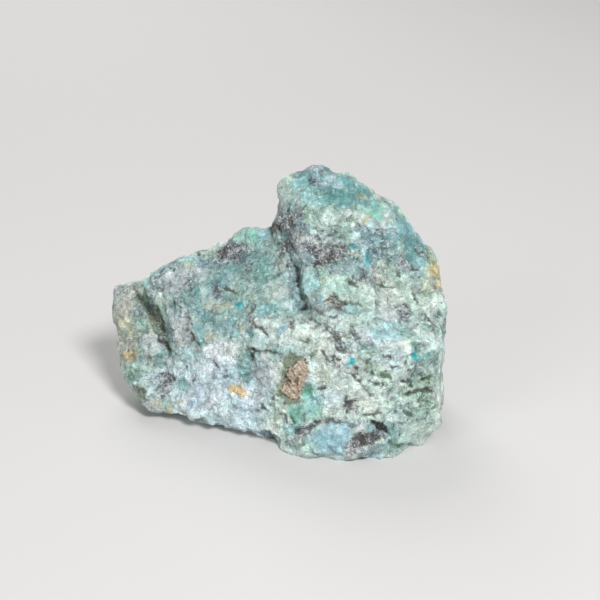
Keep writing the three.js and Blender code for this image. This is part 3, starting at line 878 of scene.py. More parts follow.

# Thin dark or white lines and chains of spots, some of them painted shadow along creases: the mineral, the
# line's half width in pixels, how purely it shows, and its path of pixels.
STROKES = {
    # the peak and the slope below it
    "slope line": ("umber", 1.2, 0.8, [(327, 303), (336, 304), (352, 303), (358, 304), (361, 307)]),
    "slope bar": ("umber", 1.4, 0.7, [(332, 309), (342, 308)]),
    "slope edge": ("shale", 1.1, 0.7, [(307, 308), (316, 308), (320, 312), (326, 317), (336, 316)]),
    "slope edge, low": ("shale", 1.3, 0.7, [(310, 320), (318, 321)]),
    "slope dark": ("black", 1.4, 0.9, [(346, 281), (350, 283.5), (357, 287)]),
    "slope dot": ("umber", 1.3, 0.8, [(363, 277), (365, 279)]),
    "slope brown": ("umber", 1.4, 0.7, [(376, 283), (386, 286), (393, 288)]),
    "slope hook": ("shale", 1.3, 0.9, [(396, 270), (400, 277)]),
    "shoulder dot": ("shale", 1.2, 0.8, [(411, 267), (414, 270)]),
    "shoulder brown": ("grit", 2.2, 0.8, [(400, 260), (404, 266)]),
    "slope right": ("shale", 1.3, 0.8, [(413, 290), (414, 296), (419, 303)]),
    "slope middle": ("shale", 1.2, 0.7, [(374, 319), (381, 317)]),
    "right marks": ("umber", 1.2, 0.6, [(424, 312), (430, 318), (436, 327)]),
    "hollow edge": ("quartz", 1.6, 0.8, [(296, 243), (308, 238), (318, 243), (328, 240), (338, 244)]),

    # the wing
    "grit streak": ("shale", 1.8, 0.8, [(224, 287), (231, 290), (238, 293)]),
    "flecks": ("umber", 1.8, 0.8, [(256, 305), (253, 311), (249, 313), (250, 321)]),
    "flecks, low": ("umber", 1.5, 0.9, [(249, 322), (254, 325), (260, 327), (266, 335)]),
    "wing marks": ("umber", 1.4, 0.9, [(190, 345), (194, 336), (199, 344)]),
    "wing marks, high": ("grit", 2.0, 0.8, [(183, 312), (188, 318), (187, 329), (193, 335)]),
    "blob line": ("umber", 1.2, 0.7, [(210, 358), (214, 363), (220, 369)]),
    "bar": ("umber", 1.3, 0.8, [(221, 378), (225, 377), (230, 376.5)]),
    "low marks": ("grit", 1.5, 0.9, [(191, 375), (193, 382), (197, 378)]),
    "edge marks": ("umber", 1.3, 0.7, [(184, 366), (187, 371)]),
    "tip marks": ("grit", 1.6, 0.8, [(176, 293), (182, 300)]),
    # The four groove strokes are painted shadow along the groove, drawn in dark minerals' colours.
    "groove top": ("umber", 1.6, 0.8, [(134, 288), (137, 293), (142, 297)]),
    "groove edge": ("black", 1.3, 0.8, [(142, 299), (147, 306), (151, 312)]),
    "groove side": ("black", 1.4, 0.9, [(157, 317), (161, 323), (164, 329)]),
    "groove low": ("black", 1.5, 0.9, [(156, 331), (160, 339), (166, 349)]),
    # The fold hook, the fold line and the lip are painted shadow in the fold's crease and under the brow's
    # lip.
    "fold hook": ("black", 2.2, 1.0, [(252, 352), (253.5, 357)]),
    "fold line": ("umber", 1.3, 0.8, [(246, 346), (252, 349), (258, 351)]),
    "lip": ("umber", 1.2, 0.8, [(259, 351), (270, 353), (278, 355)]),
    "bump side": ("olive", 1.6, 0.8, [(274, 383), (278, 390), (275, 399)]),
    "bump spot": ("shale", 1.8, 0.9, [(271, 398), (275, 400)]),
    "low flecks": ("umber", 1.5, 0.9, [(261, 404), (264, 409), (267, 411)]),
    "low fleck": ("umber", 1.2, 0.7, [(256, 411), (259, 413)]),
    "tail marks": ("black", 1.6, 0.9, [(280, 414), (284, 418), (286, 423)]),
    "tail line": ("green", 1.2, 0.8, [(290, 418), (293, 424)]),
    "halo low": ("olive", 3.5, 0.9, [(280, 382), (279, 391), (284, 400), (296, 404)]),
    "halo mark": ("black", 1.3, 0.9, [(285, 377), (290, 381)]),

    # the front
    "brow line": ("snow", 1.4, 0.9, [(329, 321), (337, 320), (342, 322), (350, 328)]),
    "rim line": ("snow", 1.3, 0.9, [
        (359, 330), (364, 335), (370, 341), (380, 344.5), (392, 343.5), (408, 341)]),
    "brow dark": ("umber", 2.2, 0.9, [(331, 333), (336, 337), (341, 342)]),
    "brow olive": ("olive", 2.4, 0.9, [(341, 337), (344, 334.5), (349, 337)]),
    "brow far": ("shale", 2.4, 0.8, [(351, 329), (354, 335), (360, 340)]),
    "brow low": ("umber", 2.2, 0.9, [(336, 345), (340, 348), (344, 351)]),
    "brow left": ("umber", 1.4, 0.8, [(306, 338), (309, 344)]),
    "brow grey": ("shale", 1.4, 0.8, [(322, 331), (325, 329), (330, 327)]),
    "green line": ("green", 1.5, 0.6, [(357, 340), (361, 345), (366, 350)]),
    "front line": ("umber", 1.2, 0.9, [(321, 350), (326, 357), (331, 361.5)]),
    "front knot": ("umber", 2.4, 0.9, [(330, 360), (334, 357), (338, 359)]),
    "front tail": ("umber", 1.2, 0.8, [(336, 362), (341, 369)]),
    "speck shade": ("umber", 1.7, 0.9, [(354, 365), (357, 369)]),
    "pink shade": ("lilac", 3.5, 0.7, [(345, 371), (354, 372)]),
    "thin line": ("umber", 1.1, 0.8, [(347, 373), (354, 376), (359, 381), (368, 387.5)]),
    "thin line, low": ("umber", 1.1, 0.7, [(365, 389), (371, 394), (376, 398)]),
    "green chip": ("green", 2.3, 1.0, [(366, 361.5), (368.5, 362.5)]),
    "green chip, middle": ("green", 1.5, 1.0, [(371, 371), (373, 375)]),
    "green chips, low": ("green", 2.0, 0.9, [(381, 372), (385, 376), (390, 378)]),
    "rim spots": ("shale", 1.9, 1.0, [(385, 357), (389, 357), (392, 358.5)]),
    "rim thread": ("shale", 1.1, 0.8, [(388, 361), (392, 367), (401, 367)]),
    "green dot": ("green", 1.7, 1.0, [(404, 361.5), (407, 363.5)]),
    "row": ("shale", 1.5, 1.0, [(369, 382), (373, 381), (378, 383.5), (387, 386)]),
    "crack spots": ("shale", 1.5, 1.0, [(404, 381), (409, 382), (414, 382)]),
    "crack spots, low": ("shale", 1.2, 0.8, [(411, 383), (413, 389)]),
    "small crack": ("umber", 1.1, 0.8, [(421, 382), (426, 379), (433, 376)]),
    "crack": ("umber", 1.1, 0.9, [(403, 396), (410, 394), (418, 391), (424, 390.5)]),
    "crack end": ("black", 1.3, 1.0, [(424, 390.5), (429, 389.5), (434, 391.5)]),
    "short bar": ("umber", 1.2, 0.8, [(319, 389), (325, 387.5)]),
    "tee": ("black", 2.6, 1.0, [(346.5, 397), (348, 404), (348, 412)]),
    "tee arm": ("black", 1.6, 1.0, [(348, 402), (353, 401.5), (358, 400.5)]),
    "tee foot": ("shale", 1.2, 0.8, [(350, 407), (356, 412)]),
    "pit spots": ("umber", 1.5, 0.9, [(363, 415), (368, 415), (374, 417)]),
    "pit spots, right": ("umber", 1.5, 0.9, [(374, 413.5), (382, 412.5)]),
    "green marks": ("green", 1.8, 0.8, [(403, 411), (409, 413), (414, 415.5)]),
    "green marks, right": ("green", 1.6, 0.9, [(430, 408), (434, 409), (437, 407)]),
    "corner mark": ("olive", 1.2, 0.8, [(415, 427), (419, 424)]),
    "corner dots": ("black", 1.4, 0.9, [(399, 431), (399.5, 436)]),
    # The ledge stroke is painted shade under the ledge.
    "ledge": ("green", 1.5, 0.9, [(389, 442), (394, 445), (404, 446), (412, 444.5)]),
    "arc, right": ("shale", 1.4, 0.9, [(323, 424), (328, 420), (340, 421.5)]),
    "foot crack": ("black", 1.2, 0.9, [(312, 451), (316, 453), (319, 456)]),
}


# What is scattered over the sides that the photograph doesn't show: the mineral, how many bodies of it, and
# their half width in millimetres.
SCATTERED = [
    ("quartz", 9, 4.5),
    ("ice", 4, 4.5),
    ("pale", 7, 3.0),
    ("deep teal", 8, 3.2),
    ("sky", 4, 2.4),
    ("grit", 10, 2.6),
    ("malachite", 4, 2.0),
    ("ochre", 5, 1.2),
    ("cream", 4, 1.6),
    ("green", 5, 0.7),
    ("umber", 40, 0.7),
    ("gem", 6, 0.6),
]
SCATTER_SEED = 37
SCATTER_LEAST = (0.7, 0.35)     # a body's least half width and height, in parts of the row's,
SCATTER_MOST = (1.3, 0.8)       # and its greatest
SCATTER_TURNS = (0, 180)        # degrees
SCATTER_STRENGTH = 0.85
SCATTER_BODY_SEEDS = (10000, 90000)
TURNED_AWAY = 0.2               # how far from the camera a normal points where a side counts as unseen

# What comes and goes over the whole stone: the mineral, how large its drifts are, the noise at which it
# sets in and at which it shows fully, how purely it shows, and its seed.
GROUND = "mint"
CLOUDS = [
    ("teal", 9.0, -0.10, 0.16, 0.9, 61),
    ("quartz", 6.0, 0.02, 0.24, 0.8, 62),
    ("grit", 5.0, 0.10, 0.28, 0.8, 63),
    ("sage", 3.6, 0.08, 0.26, 0.6, 64),
]
# The same for minerals in angular pieces, some before the bodies are laid on and some after the patches.
FRAGMENTS = [
    ("aqua", 1.8, 0.10, 0.24, 0.6, 71),
    ("deep teal", 1.3, 0.16, 0.30, 0.6, 72),
    ("pale", 2.0, 0.16, 0.28, 0.6, 79),
]
LATE_FRAGMENTS = [
    ("lilac", 1.2, 0.16, 0.30, 0.25, 73),
    ("grit", 1.0, 0.20, 0.32, 0.30, 74),
]
# Shifts of colour from piece to piece: the pieces' size, the shift of red, green and blue, and the seed.
SHIFTS = [
    (1.7, (0.24, 0.14, 0.12), 75),
    (2.6, (0.08, 0.00, -0.03), 76),
    (3.4, (-0.02, -0.02, 0.07), 78),
    (0.9, (0.12, 0.10, 0.09), 77),
]
CLOUD_OCTAVES = 4
CLOUD_ROUGHNESS = 0.62
WARM_CALM = 0.5     # how much smaller the shifts are in warm minerals

# The first seed of each kind of body, and the step from one body's seed to the next one's.
PATCH_SEED = 200
OUTLINE_SEED = 5000
STROKE_SEED = 8000
SEED_STEP = 17
LUMP_SEED = 3       # added for the lumps along a stroke

# How far an outline wanders, coarsely and finely, and how blurred it is, in millimetres. The second number
# of a pair is what full softness adds.
OUTLINE_COARSE = (0.2, 0.6)
OUTLINE_FINE = (0.15, 0.2)
OUTLINE_COARSE_SIZE = 1.5
OUTLINE_FINE_SIZE = 0.6
OUTLINE_BLUR = (0.12, 0.35)
MARGIN = 2.0            # how far round an outline or a stroke its ragged edge can lie

# The size and the amount of a stroke's coarse and fine wandering, in millimetres; and how its width goes.
STROKE_COARSE = (1.1, 0.4)
STROKE_FINE = (0.5, 0.15)
STROKE_TAPER = (0.4, 0.6)   # its width at the ends, in parts of the row's, and what its middle adds
STROKE_ENDS = 0.35      # share of a stroke over which each end thins out
STROKE_LUMPS = 0.7      # size of the lumps along it,
STROKE_UNEVEN = 1.1     # and how much thicker and thinner they make it
STROKE_EDGE = (-0.3, 0.2)
STROKE_STRENGTH = 0.8
FAINT_THINNER = 0.1     # how much narrower the faintest dark mark is

# How far a patch wanders, in parts of its half width, and what full softness adds to that; the sizes of
# its swerves in millimetres, and what each millimetre of half width adds to them.
PATCH_RAGGED = (0.35, 0.7)
PATCH_FINE_SHARE = 0.5
PATCH_COARSE_SIZE = (0.3, 1.1)
PATCH_FINE_SIZE = (0.25, 0.45)
PATCH_EDGE = 0.12       # how blurred its edge is, in parts of its half width,
PATCH_SOFT_EDGE = 0.5   # and what softness adds,
PATCH_BROAD = 3.0       # to the full from this half width on
PATCH_DEPTH = 3.0       # how far a patch reaches into the stone beyond its half width
PATCH_MARGIN = 2.4      # how far round a patch, in half widths, its ragged edge can lie

# Angular pieces, in parts of their size: how far their borders wander, how broad the drifts from piece to
# piece, inside the pieces and in a shift of colour are; and how much the first two drifts count.
PIECE_WANDER = 0.35
PIECE_DRIFT = 2.6
INNER_DRIFT = 1.5
SHIFT_DRIFT = 1.8
PIECE_SHARE = 0.65
INNER_SHARE = 0.35
PIECE_SEED = 3
INNER_SEED = 5
SHIFT_SEED = 9
SHIFT_OCTAVES = 2


def broken_noise(points, size, seed):
    """Noise from about -1 to 1 that keeps one value over most of each angular piece."""
    pieces = cell_centres(warped(points, size, PIECE_WANDER * size, seed), size, seed)
    inner = INNER_SHARE * noise(points, INNER_DRIFT * size, seed + INNER_SEED)
    return PIECE_SHARE * noise(pieces, PIECE_DRIFT * size, seed + PIECE_SEED) + inner


class Paint:
    """The stone's broad colour at each point, its dark and white grains, how broken it is and its marks."""

    def __init__(self, points, ground):
        self.points = points
        self.amounts = {}
        rgb, *shares, _ = MINERALS[ground]
        self.tone = np.tile(linear(rgb), (len(points), 1))
        self.calm = np.zeros(len(points))
        self.mark = np.zeros(len(points))
        self.shares = np.tile(np.array(shares), (len(points), 1))

    def blend(self, mineral, amount, where=slice(None)):
        rgb, *shares, _ = MINERALS[mineral]
        self.tone[where] += (linear(rgb) - self.tone[where]) * amount[:, None]
        self.shares[where] += (np.array(shares) - self.shares[where]) * amount[:, None]
        self.calm[where] += ((mineral in WARM) - self.calm[where]) * amount

    def cloud(self, mineral, size, low, high, strength, seed):
        """A mineral that comes and goes over the whole stone."""
        drift = fractal(self.points, size, CLOUD_OCTAVES, seed, CLOUD_ROUGHNESS)
        self.blend(mineral, strength * smooth_step(low, high, drift))

    def fragments(self, mineral, size, low, high, strength, seed):
        """A mineral in angular pieces, as the stone broke."""
        self.blend(mineral, strength * smooth_step(low, high, broken_noise(self.points, size, seed)))

    def vary(self, size, shift, seed):
        """Shifts the colour this way and that, piece by piece, without changing what mineral it is."""
        drift = broken_noise(self.points, size, seed)
        drift += fractal(self.points, SHIFT_DRIFT * size, SHIFT_OCTAVES, seed + SHIFT_SEED)
        drift *= 1 - WARM_CALM * self.calm
        self.tone *= 1 + drift[:, None] * np.array(shift)

    def near(self, corners):
        """The points round about some others."""
        middle = np.mean(corners, 0)
        reach = MARGIN + max(np.linalg.norm(corner - middle) for corner in corners)
        return np.flatnonzero(np.linalg.norm(self.points - middle, axis=1) < reach)

    def lay(self, mineral, strength, near, inside):
        """Blends a body in, and returns how fully each point of the stone lies inside it."""
        self.blend(mineral, strength * inside, near)
        amount = np.zeros(len(self.points))
        amount[near] = inside
        return amount

    def ink(self, near, inwards):
        """Notes a dark mark's depth inside its outline, from which the material draws it sharply."""
        self.mark[near] = np.maximum(self.mark[near], np.clip(0.5 + inwards / INK_REACH, 0, 1))

    def outline(self, mineral, strength, corners, seed):
        """A body of a mineral, or painted shade in a mineral's colour, with an outline that is as ragged
        and as soft as the mineral.
        """
        softness = MINERALS[mineral][-1]
        near = self.near(corners)
        coarse = OUTLINE_COARSE_SIZE, scaled(OUTLINE_COARSE, softness)
        fine = OUTLINE_FINE_SIZE, scaled(OUTLINE_FINE, softness)
        inwards = within(frayed(self.points[near], coarse, fine, seed), corners)
        blur = scaled(OUTLINE_BLUR, softness)
        if mineral in INKED_OUTLINES:
            self.ink(near, inwards)
        return self.lay(mineral, strength, near, smooth_step(-blur, blur, inwards))

    def stroke(self, mineral, half_width, strength, path, seed):
        """A broken line of a mineral, or of painted shadow in a mineral's colour, thicker and thinner as it
        goes and tapered to its ends.
        """
        near = self.near(path)
        local = frayed(self.points[near], STROKE_COARSE, STROKE_FINE, seed)
        distance, along, _ = run(local, path)
        taper = scaled(STROKE_TAPER, ends(along, STROKE_ENDS))
        lumps = 1 + STROKE_UNEVEN * noise(local, STROKE_LUMPS, seed + LUMP_SEED)
        inwards = half_width * taper * lumps - distance
        self.lay(mineral, STROKE_STRENGTH * strength, near, smooth_step(*STROKE_EDGE, inwards))
        if mineral in INKED:
            self.ink(near, inwards - FAINT_THINNER * (1 - strength))

    def patch(self, mineral, centre, half, turn, strength, seed):
        """One body of a mineral, in places also painted shade, with a ragged outline that suits its size.
        """
        small, large = min(half), max(half)
        softness = MINERALS[mineral][-1]
        oval = centre, half, turn, PATCH_DEPTH + large
        near = np.flatnonzero(blob(self.points, *oval) < PATCH_MARGIN)
        ragged = scaled(PATCH_RAGGED, softness) * small
        coarse = scaled(PATCH_COARSE_SIZE, small), ragged
        fine = scaled(PATCH_FINE_SIZE, small), PATCH_FINE_SHARE * ragged
        distance = blob(frayed(self.points[near], coarse, fine, seed), *oval)
        edge = PATCH_EDGE + PATCH_SOFT_EDGE * softness * smooth_step(0.0, PATCH_BROAD, small)
        return self.lay(mineral, strength, near, 1 - smooth_step(1 - edge, 1 + edge, distance))


def scatter(paint):
    """Bodies of the same minerals over the sides that face away from the camera."""
    chance = np.random.default_rng(SCATTER_SEED)
    hidden = np.flatnonzero((normals @ FORWARD > TURNED_AWAY) & ~base)
    for mineral, count, size in SCATTERED:
        for centre in paint.points[chance.choice(hidden, count)]:
            half = size * chance.uniform(SCATTER_LEAST, SCATTER_MOST)
            turn = chance.uniform(*SCATTER_TURNS)
            seed = int(chance.integers(*SCATTER_BODY_SEEDS))
            paint.patch(mineral, centre, half, turn, SCATTER_STRENGTH, seed)


def painted(points):
    """The paint of the whole stone: drifts, scattered bodies, patches, outlines, strokes and shifts."""
    paint = Paint(points, GROUND)
    for row in CLOUDS:
        paint.cloud(*row)
    for row in FRAGMENTS:
        paint.fragments(*row)
    scatter(paint)
    for n, (name, (mineral, pixel, half, turn, strength)) in enumerate(PATCHES.items()):
        half = np.array(half) * PIXEL
        seed = PATCH_SEED + SEED_STEP * n
        paint.amounts[name] = paint.patch(mineral, surface.at(pixel), half, turn, strength, seed)
    for row in LATE_FRAGMENTS:
        paint.fragments(*row)
    for n, (name, (mineral, strength, outline)) in enumerate(OUTLINES.items()):
        seed = OUTLINE_SEED + SEED_STEP * n
        paint.amounts[name] = paint.outline(mineral, strength, seen(outline), seed)
    for n, (mineral, half_width, strength, path) in enumerate(STROKES.values()):
        seed = STROKE_SEED + SEED_STEP * n
        paint.stroke(mineral, half_width * PIXEL, strength, seen(path), seed)
    for row in SHIFTS:
        paint.vary(*row)
    return paint


paint = painted(smooth_points)
dark, white, broken = paint.shares.T
height = relief(smooth_points, broken, paint.amounts, paint.mark)
rise = smooth_step(0.0, FOOT_HEIGHT, smooth_points[:, 2])
height = height * np.where(base, 0, scaled(FOOT_RELIEF, rise))
mesh.points = smooth_points + normals * height[:, None]
mesh.points[:, 2] = np.maximum(mesh.points[:, 2], 0)
mesh.points[base, 2] = 0
mesh.write()
# crest and edge: the small relief and the broad edges, from which the material paints shade in the hollows
# and highlights on the crests and edges.
crest = np.sum((mesh.points - mesh.smoothed(mesh.points, CREST_ROUNDS)) * normals, axis=1)
edge = np.sum((smooth_points - mesh.smoothed(smooth_points, EDGE_ROUNDS)) * normals, axis=1)
mesh.color("tone", paint.tone)
crest, edge = np.where(base, 0, crest), np.where(base, 0, edge)
layers = {"dark": dark, "white": white, "broken": broken, "mark": paint.mark, "crest": crest, "edge": edge}
for name, values in layers.items():
    mesh.attribute(name, values)

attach(stone, "root")
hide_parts(STONE_NODE)


# ---------------------------------------------------------------- the stone's material
GREY = (0.5, 0.5, 0.5)      # the middle of a pattern's colours
JOINT_BLUR = 0.04           # how softly a joint's edge sets in,
PICK_BLUR = 0.05            # and how softly a cell is picked for joints
SPLINTER_SQUEEZE = 0.72     # share of the way along the splinters that is left out, to draw them out

# How many of each pattern there are to a millimetre, and the settings of its noise.
BENDS = 0.9
FLAKES = 0.55
CHIPS = 1.3
GRAINS = 2.6
WIDE_SPLINTERS = 1.3
SLIM_SPLINTERS = 2.6
FINE_GRAINS = 5.0
CLUSTERS = 0.42
MOTTLES = 0.6
BEND_NOISE = {"detail": 2.0, "output": "Color"}
FINE_NOISE = {"detail": 2.0, "roughness": 0.6}
CLUSTER_NOISE = {"detail": 3.0, "roughness": 0.65, "distortion": 0.5}
MOTTLE_NOISE = {"detail": 3.0, "roughness": 0.6}

# Spans: a value's range, and what its two ends become; where those aren't given, they are 0 and 1.
MOTTLE_TINT = (0.32, 0.68, 0.84, 1.16)
FLAKE_TINT = (0.0, 1.0, 0.85, 1.15)
CHIP_TINT = (0.0, 1.0, 0.88, 1.15)
FINE_TINT = (0.34, 0.66, 0.80, 1.22)
# The next span lightens the splinters where their bump rises and darkens them where it sinks: partly
# streaky tone, partly painted highlight and shade.
STREAK_TONE_AND_SHADE = (0.36, 0.64, 0.70, 1.35)
# The next span darkens the hollows of the small relief with painted shade and lightens its crests with a
# painted highlight.
HOLLOW_SHADE_CREST_HIGHLIGHT = (-0.22, 0.16, 0.72, 1.14)
DARK_GATHER = (0.38, 0.62, 0.1, 1.8)
DARK_SPAN = (-0.015, 0.02, 0.0, 0.75)
DARK_GREYING = (0.2, 0.7, 0.15, 0.9)
WHITE_SPREAD = (0.32, 0.64, 1.4, 0.6)
WHITE_SPAN = (-0.015, 0.025, 0.0, 0.85)
MARK_SPAN = (1.98, 2.14)
# The next span makes broad edges paler, partly as wear and partly as a painted highlight.
WORN_AND_HIGHLIT_EDGE_SPAN = (0.04, 0.30)
ROUGHNESS_SPAN = (0.05, 0.6, 0.22, 0.75)
BUMP_SPAN = (0.1, 1.0, 0.4, 1.0)

# How much each term of a sum counts.
STREAK_TERMS = (0.5, 0.5)           # wide and slim splinters
# The crest's term gathers dark grains in the hollows as painted shade; in WHITE_TERMS it whitens the crests
# as a painted highlight.
DARK_TERMS = (0.25, -0.30, 0.06)    # the share of grains, the crest and the grain's own pick
WHITE_TERMS = (0.22, 0.25, 0.06)
RISE_TERMS = (0.3, 0.7)             # wide and slim splinters
MARK_TERMS = (1.0, 1.2, 1.6, 0.25)  # the mark's depth, wide and slim splinters and the chip's own pick
BUMP_TERMS = (1.4, 1.1, 0.8, 1.2, 1.0, 0.7, -0.2, 0.12)     # in the order of the sum
DARK_LEVEL = 0.26
WHITE_LEVEL = 0.72
DARK_JOINT_WIDTH = 0.12
DARK_JOINT_STRENGTH = 0.5
WHITE_JOINT_WIDTH = 0.14
WHITE_JOINT_SHARE = 0.5
WHITE_JOINT_STRENGTH = 0.6
MARK_STRENGTH = 0.85
# How strongly broad edges are made paler, partly as wear and partly as a painted highlight.
WORN_AND_HIGHLIT_EDGE_STRENGTH = 0.35
WHITE_PURITY = 0.75
BUMP_DISTANCE = 0.0005      # in metres

DARK_GRAIN = (0.085, 0.080, 0.074, 1)
WHITE_GRAIN = (0.80, 0.85, 0.84, 1)
DEEP_FILTER = (0.30, 0.32, 0.32, 1)
MARK_FILTER = (0.55, 0.55, 0.55, 1)


class Shader:
    """A material's node tree, built node by node."""

    def __init__(self, name):
        self.material = bpy.data.materials.new(name)
        self.material.use_nodes = True
        self.tree = self.material.node_tree
        self.surface = self.tree.nodes["Principled BSDF"]

    def put(self, value, socket):
        if isinstance(value, bpy.types.NodeSocket):
            self.tree.links.new(value, socket)
        else:
            socket.default_value = value

    def node(self, kind, inputs=(), **settings):
        node = self.tree.nodes.new(kind)
        for name, value in settings.items():
            setattr(node, name, value)
        for name, value in dict(inputs).items():
            self.put(value, node.inputs[name])
        return node

    def math(self, operation, *values):
        node = self.node("ShaderNodeMath", operation=operation)
        for value, socket in zip(values, node.inputs):
            self.put(value, socket)
        return node.outputs[0]

    def times(self, first, second):
        return self.math("MULTIPLY", first, second)

    def total(self, values, terms):
        """The sum of values, each multiplied by its term."""
        whole = 0.0
        for value, term in zip(values, terms):
            whole = self.math("ADD", whole, self.times(value, term))
        return whole

    def range(self, value, low, high, to_low=0.0, to_high=1.0):
        node = self.node("ShaderNodeMapRange", interpolation_type="SMOOTHSTEP")
        for socket, number in zip(node.inputs, (value, low, high, to_low, to_high)):
            self.put(number, socket)
        return node.outputs[0]

    def mix(self, factor, first, second, blend="MIX"):
        node = self.node("ShaderNodeMix", data_type="RGBA", blend_type=blend)
        for socket, value in ((0, factor), (6, first), (7, second)):
            self.put(value, node.inputs[socket])
        return node.outputs[2]

    def filtered(self, colour, other):
        return self.mix(1.0, colour, other, "MULTIPLY")

    def tinted(self, colour, value, span):
        """A colour made darker or brighter by a value."""
        return self.filtered(colour, self.range(value, *span))

    def attribute(self, name, output="Fac"):
        return self.node("ShaderNodeAttribute", attribute_name=name).outputs[output]

    def noise(self, place, scale, detail, roughness=0.5, distortion=0.0, output="Fac"):
        inputs = {"Vector": place, "Scale": scale, "Detail": detail}
        inputs |= {"Roughness": roughness, "Distortion": distortion}
        return self.node("ShaderNodeTexNoise", inputs).outputs[output]

    def cells(self, place, scale, feature="F1"):
        return self.node("ShaderNodeTexVoronoi", {"Vector": place, "Scale": scale}, feature=feature)

    def vector(self, operation, first, second):
        node = self.node("ShaderNodeVectorMath", {0: first, 1: second}, operation=operation)
        return node.outputs["Value" if operation == "DOT_PRODUCT" else "Vector"]

    def lean(self, cells):
        """Each cell's own direction."""
        return self.vector("SUBTRACT", cells.outputs["Color"], GREY)

    def splinters(self, place, cells, scale):
        """Noise drawn out along each cell's own direction, so that the lie changes from cell to cell."""
        lean = self.lean(cells)
        way = self.node("ShaderNodeVectorMath", {0: lean}, operation="NORMALIZE").outputs[0]
        inputs = {0: way, "Scale": self.times(self.vector("DOT_PRODUCT", place, way), SPLINTER_SQUEEZE)}
        squeeze = self.node("ShaderNodeVectorMath", inputs, operation="SCALE").outputs[0]
        return self.noise(self.vector("SUBTRACT", place, squeeze), scale, **FINE_NOISE)

    def tilt(self, place, cells):
        """The height of a flat facet in each cell, leaning its own way."""
        lean = self.lean(cells)
        return self.vector("DOT_PRODUCT", self.vector("SUBTRACT", place, cells.outputs["Position"]), lean)

    def picks(self, cells):
        """Three numbers from 0 to 1 that differ from cell to cell."""
        return self.node("ShaderNodeSeparateColor", {"Color": cells.outputs["Color"]}).outputs

    def joints(self, place, scale, width, pick, share):
        """Lines between angular cells, only along the given share of the cells; 0 to 1."""
        away = self.cells(place, scale, "DISTANCE_TO_EDGE").outputs["Distance"]
        line = self.range(self.math("SUBTRACT", width, away), -JOINT_BLUR, JOINT_BLUR)
        return self.times(line, self.range(self.math("SUBTRACT", share, pick), -PICK_BLUR, PICK_BLUR))


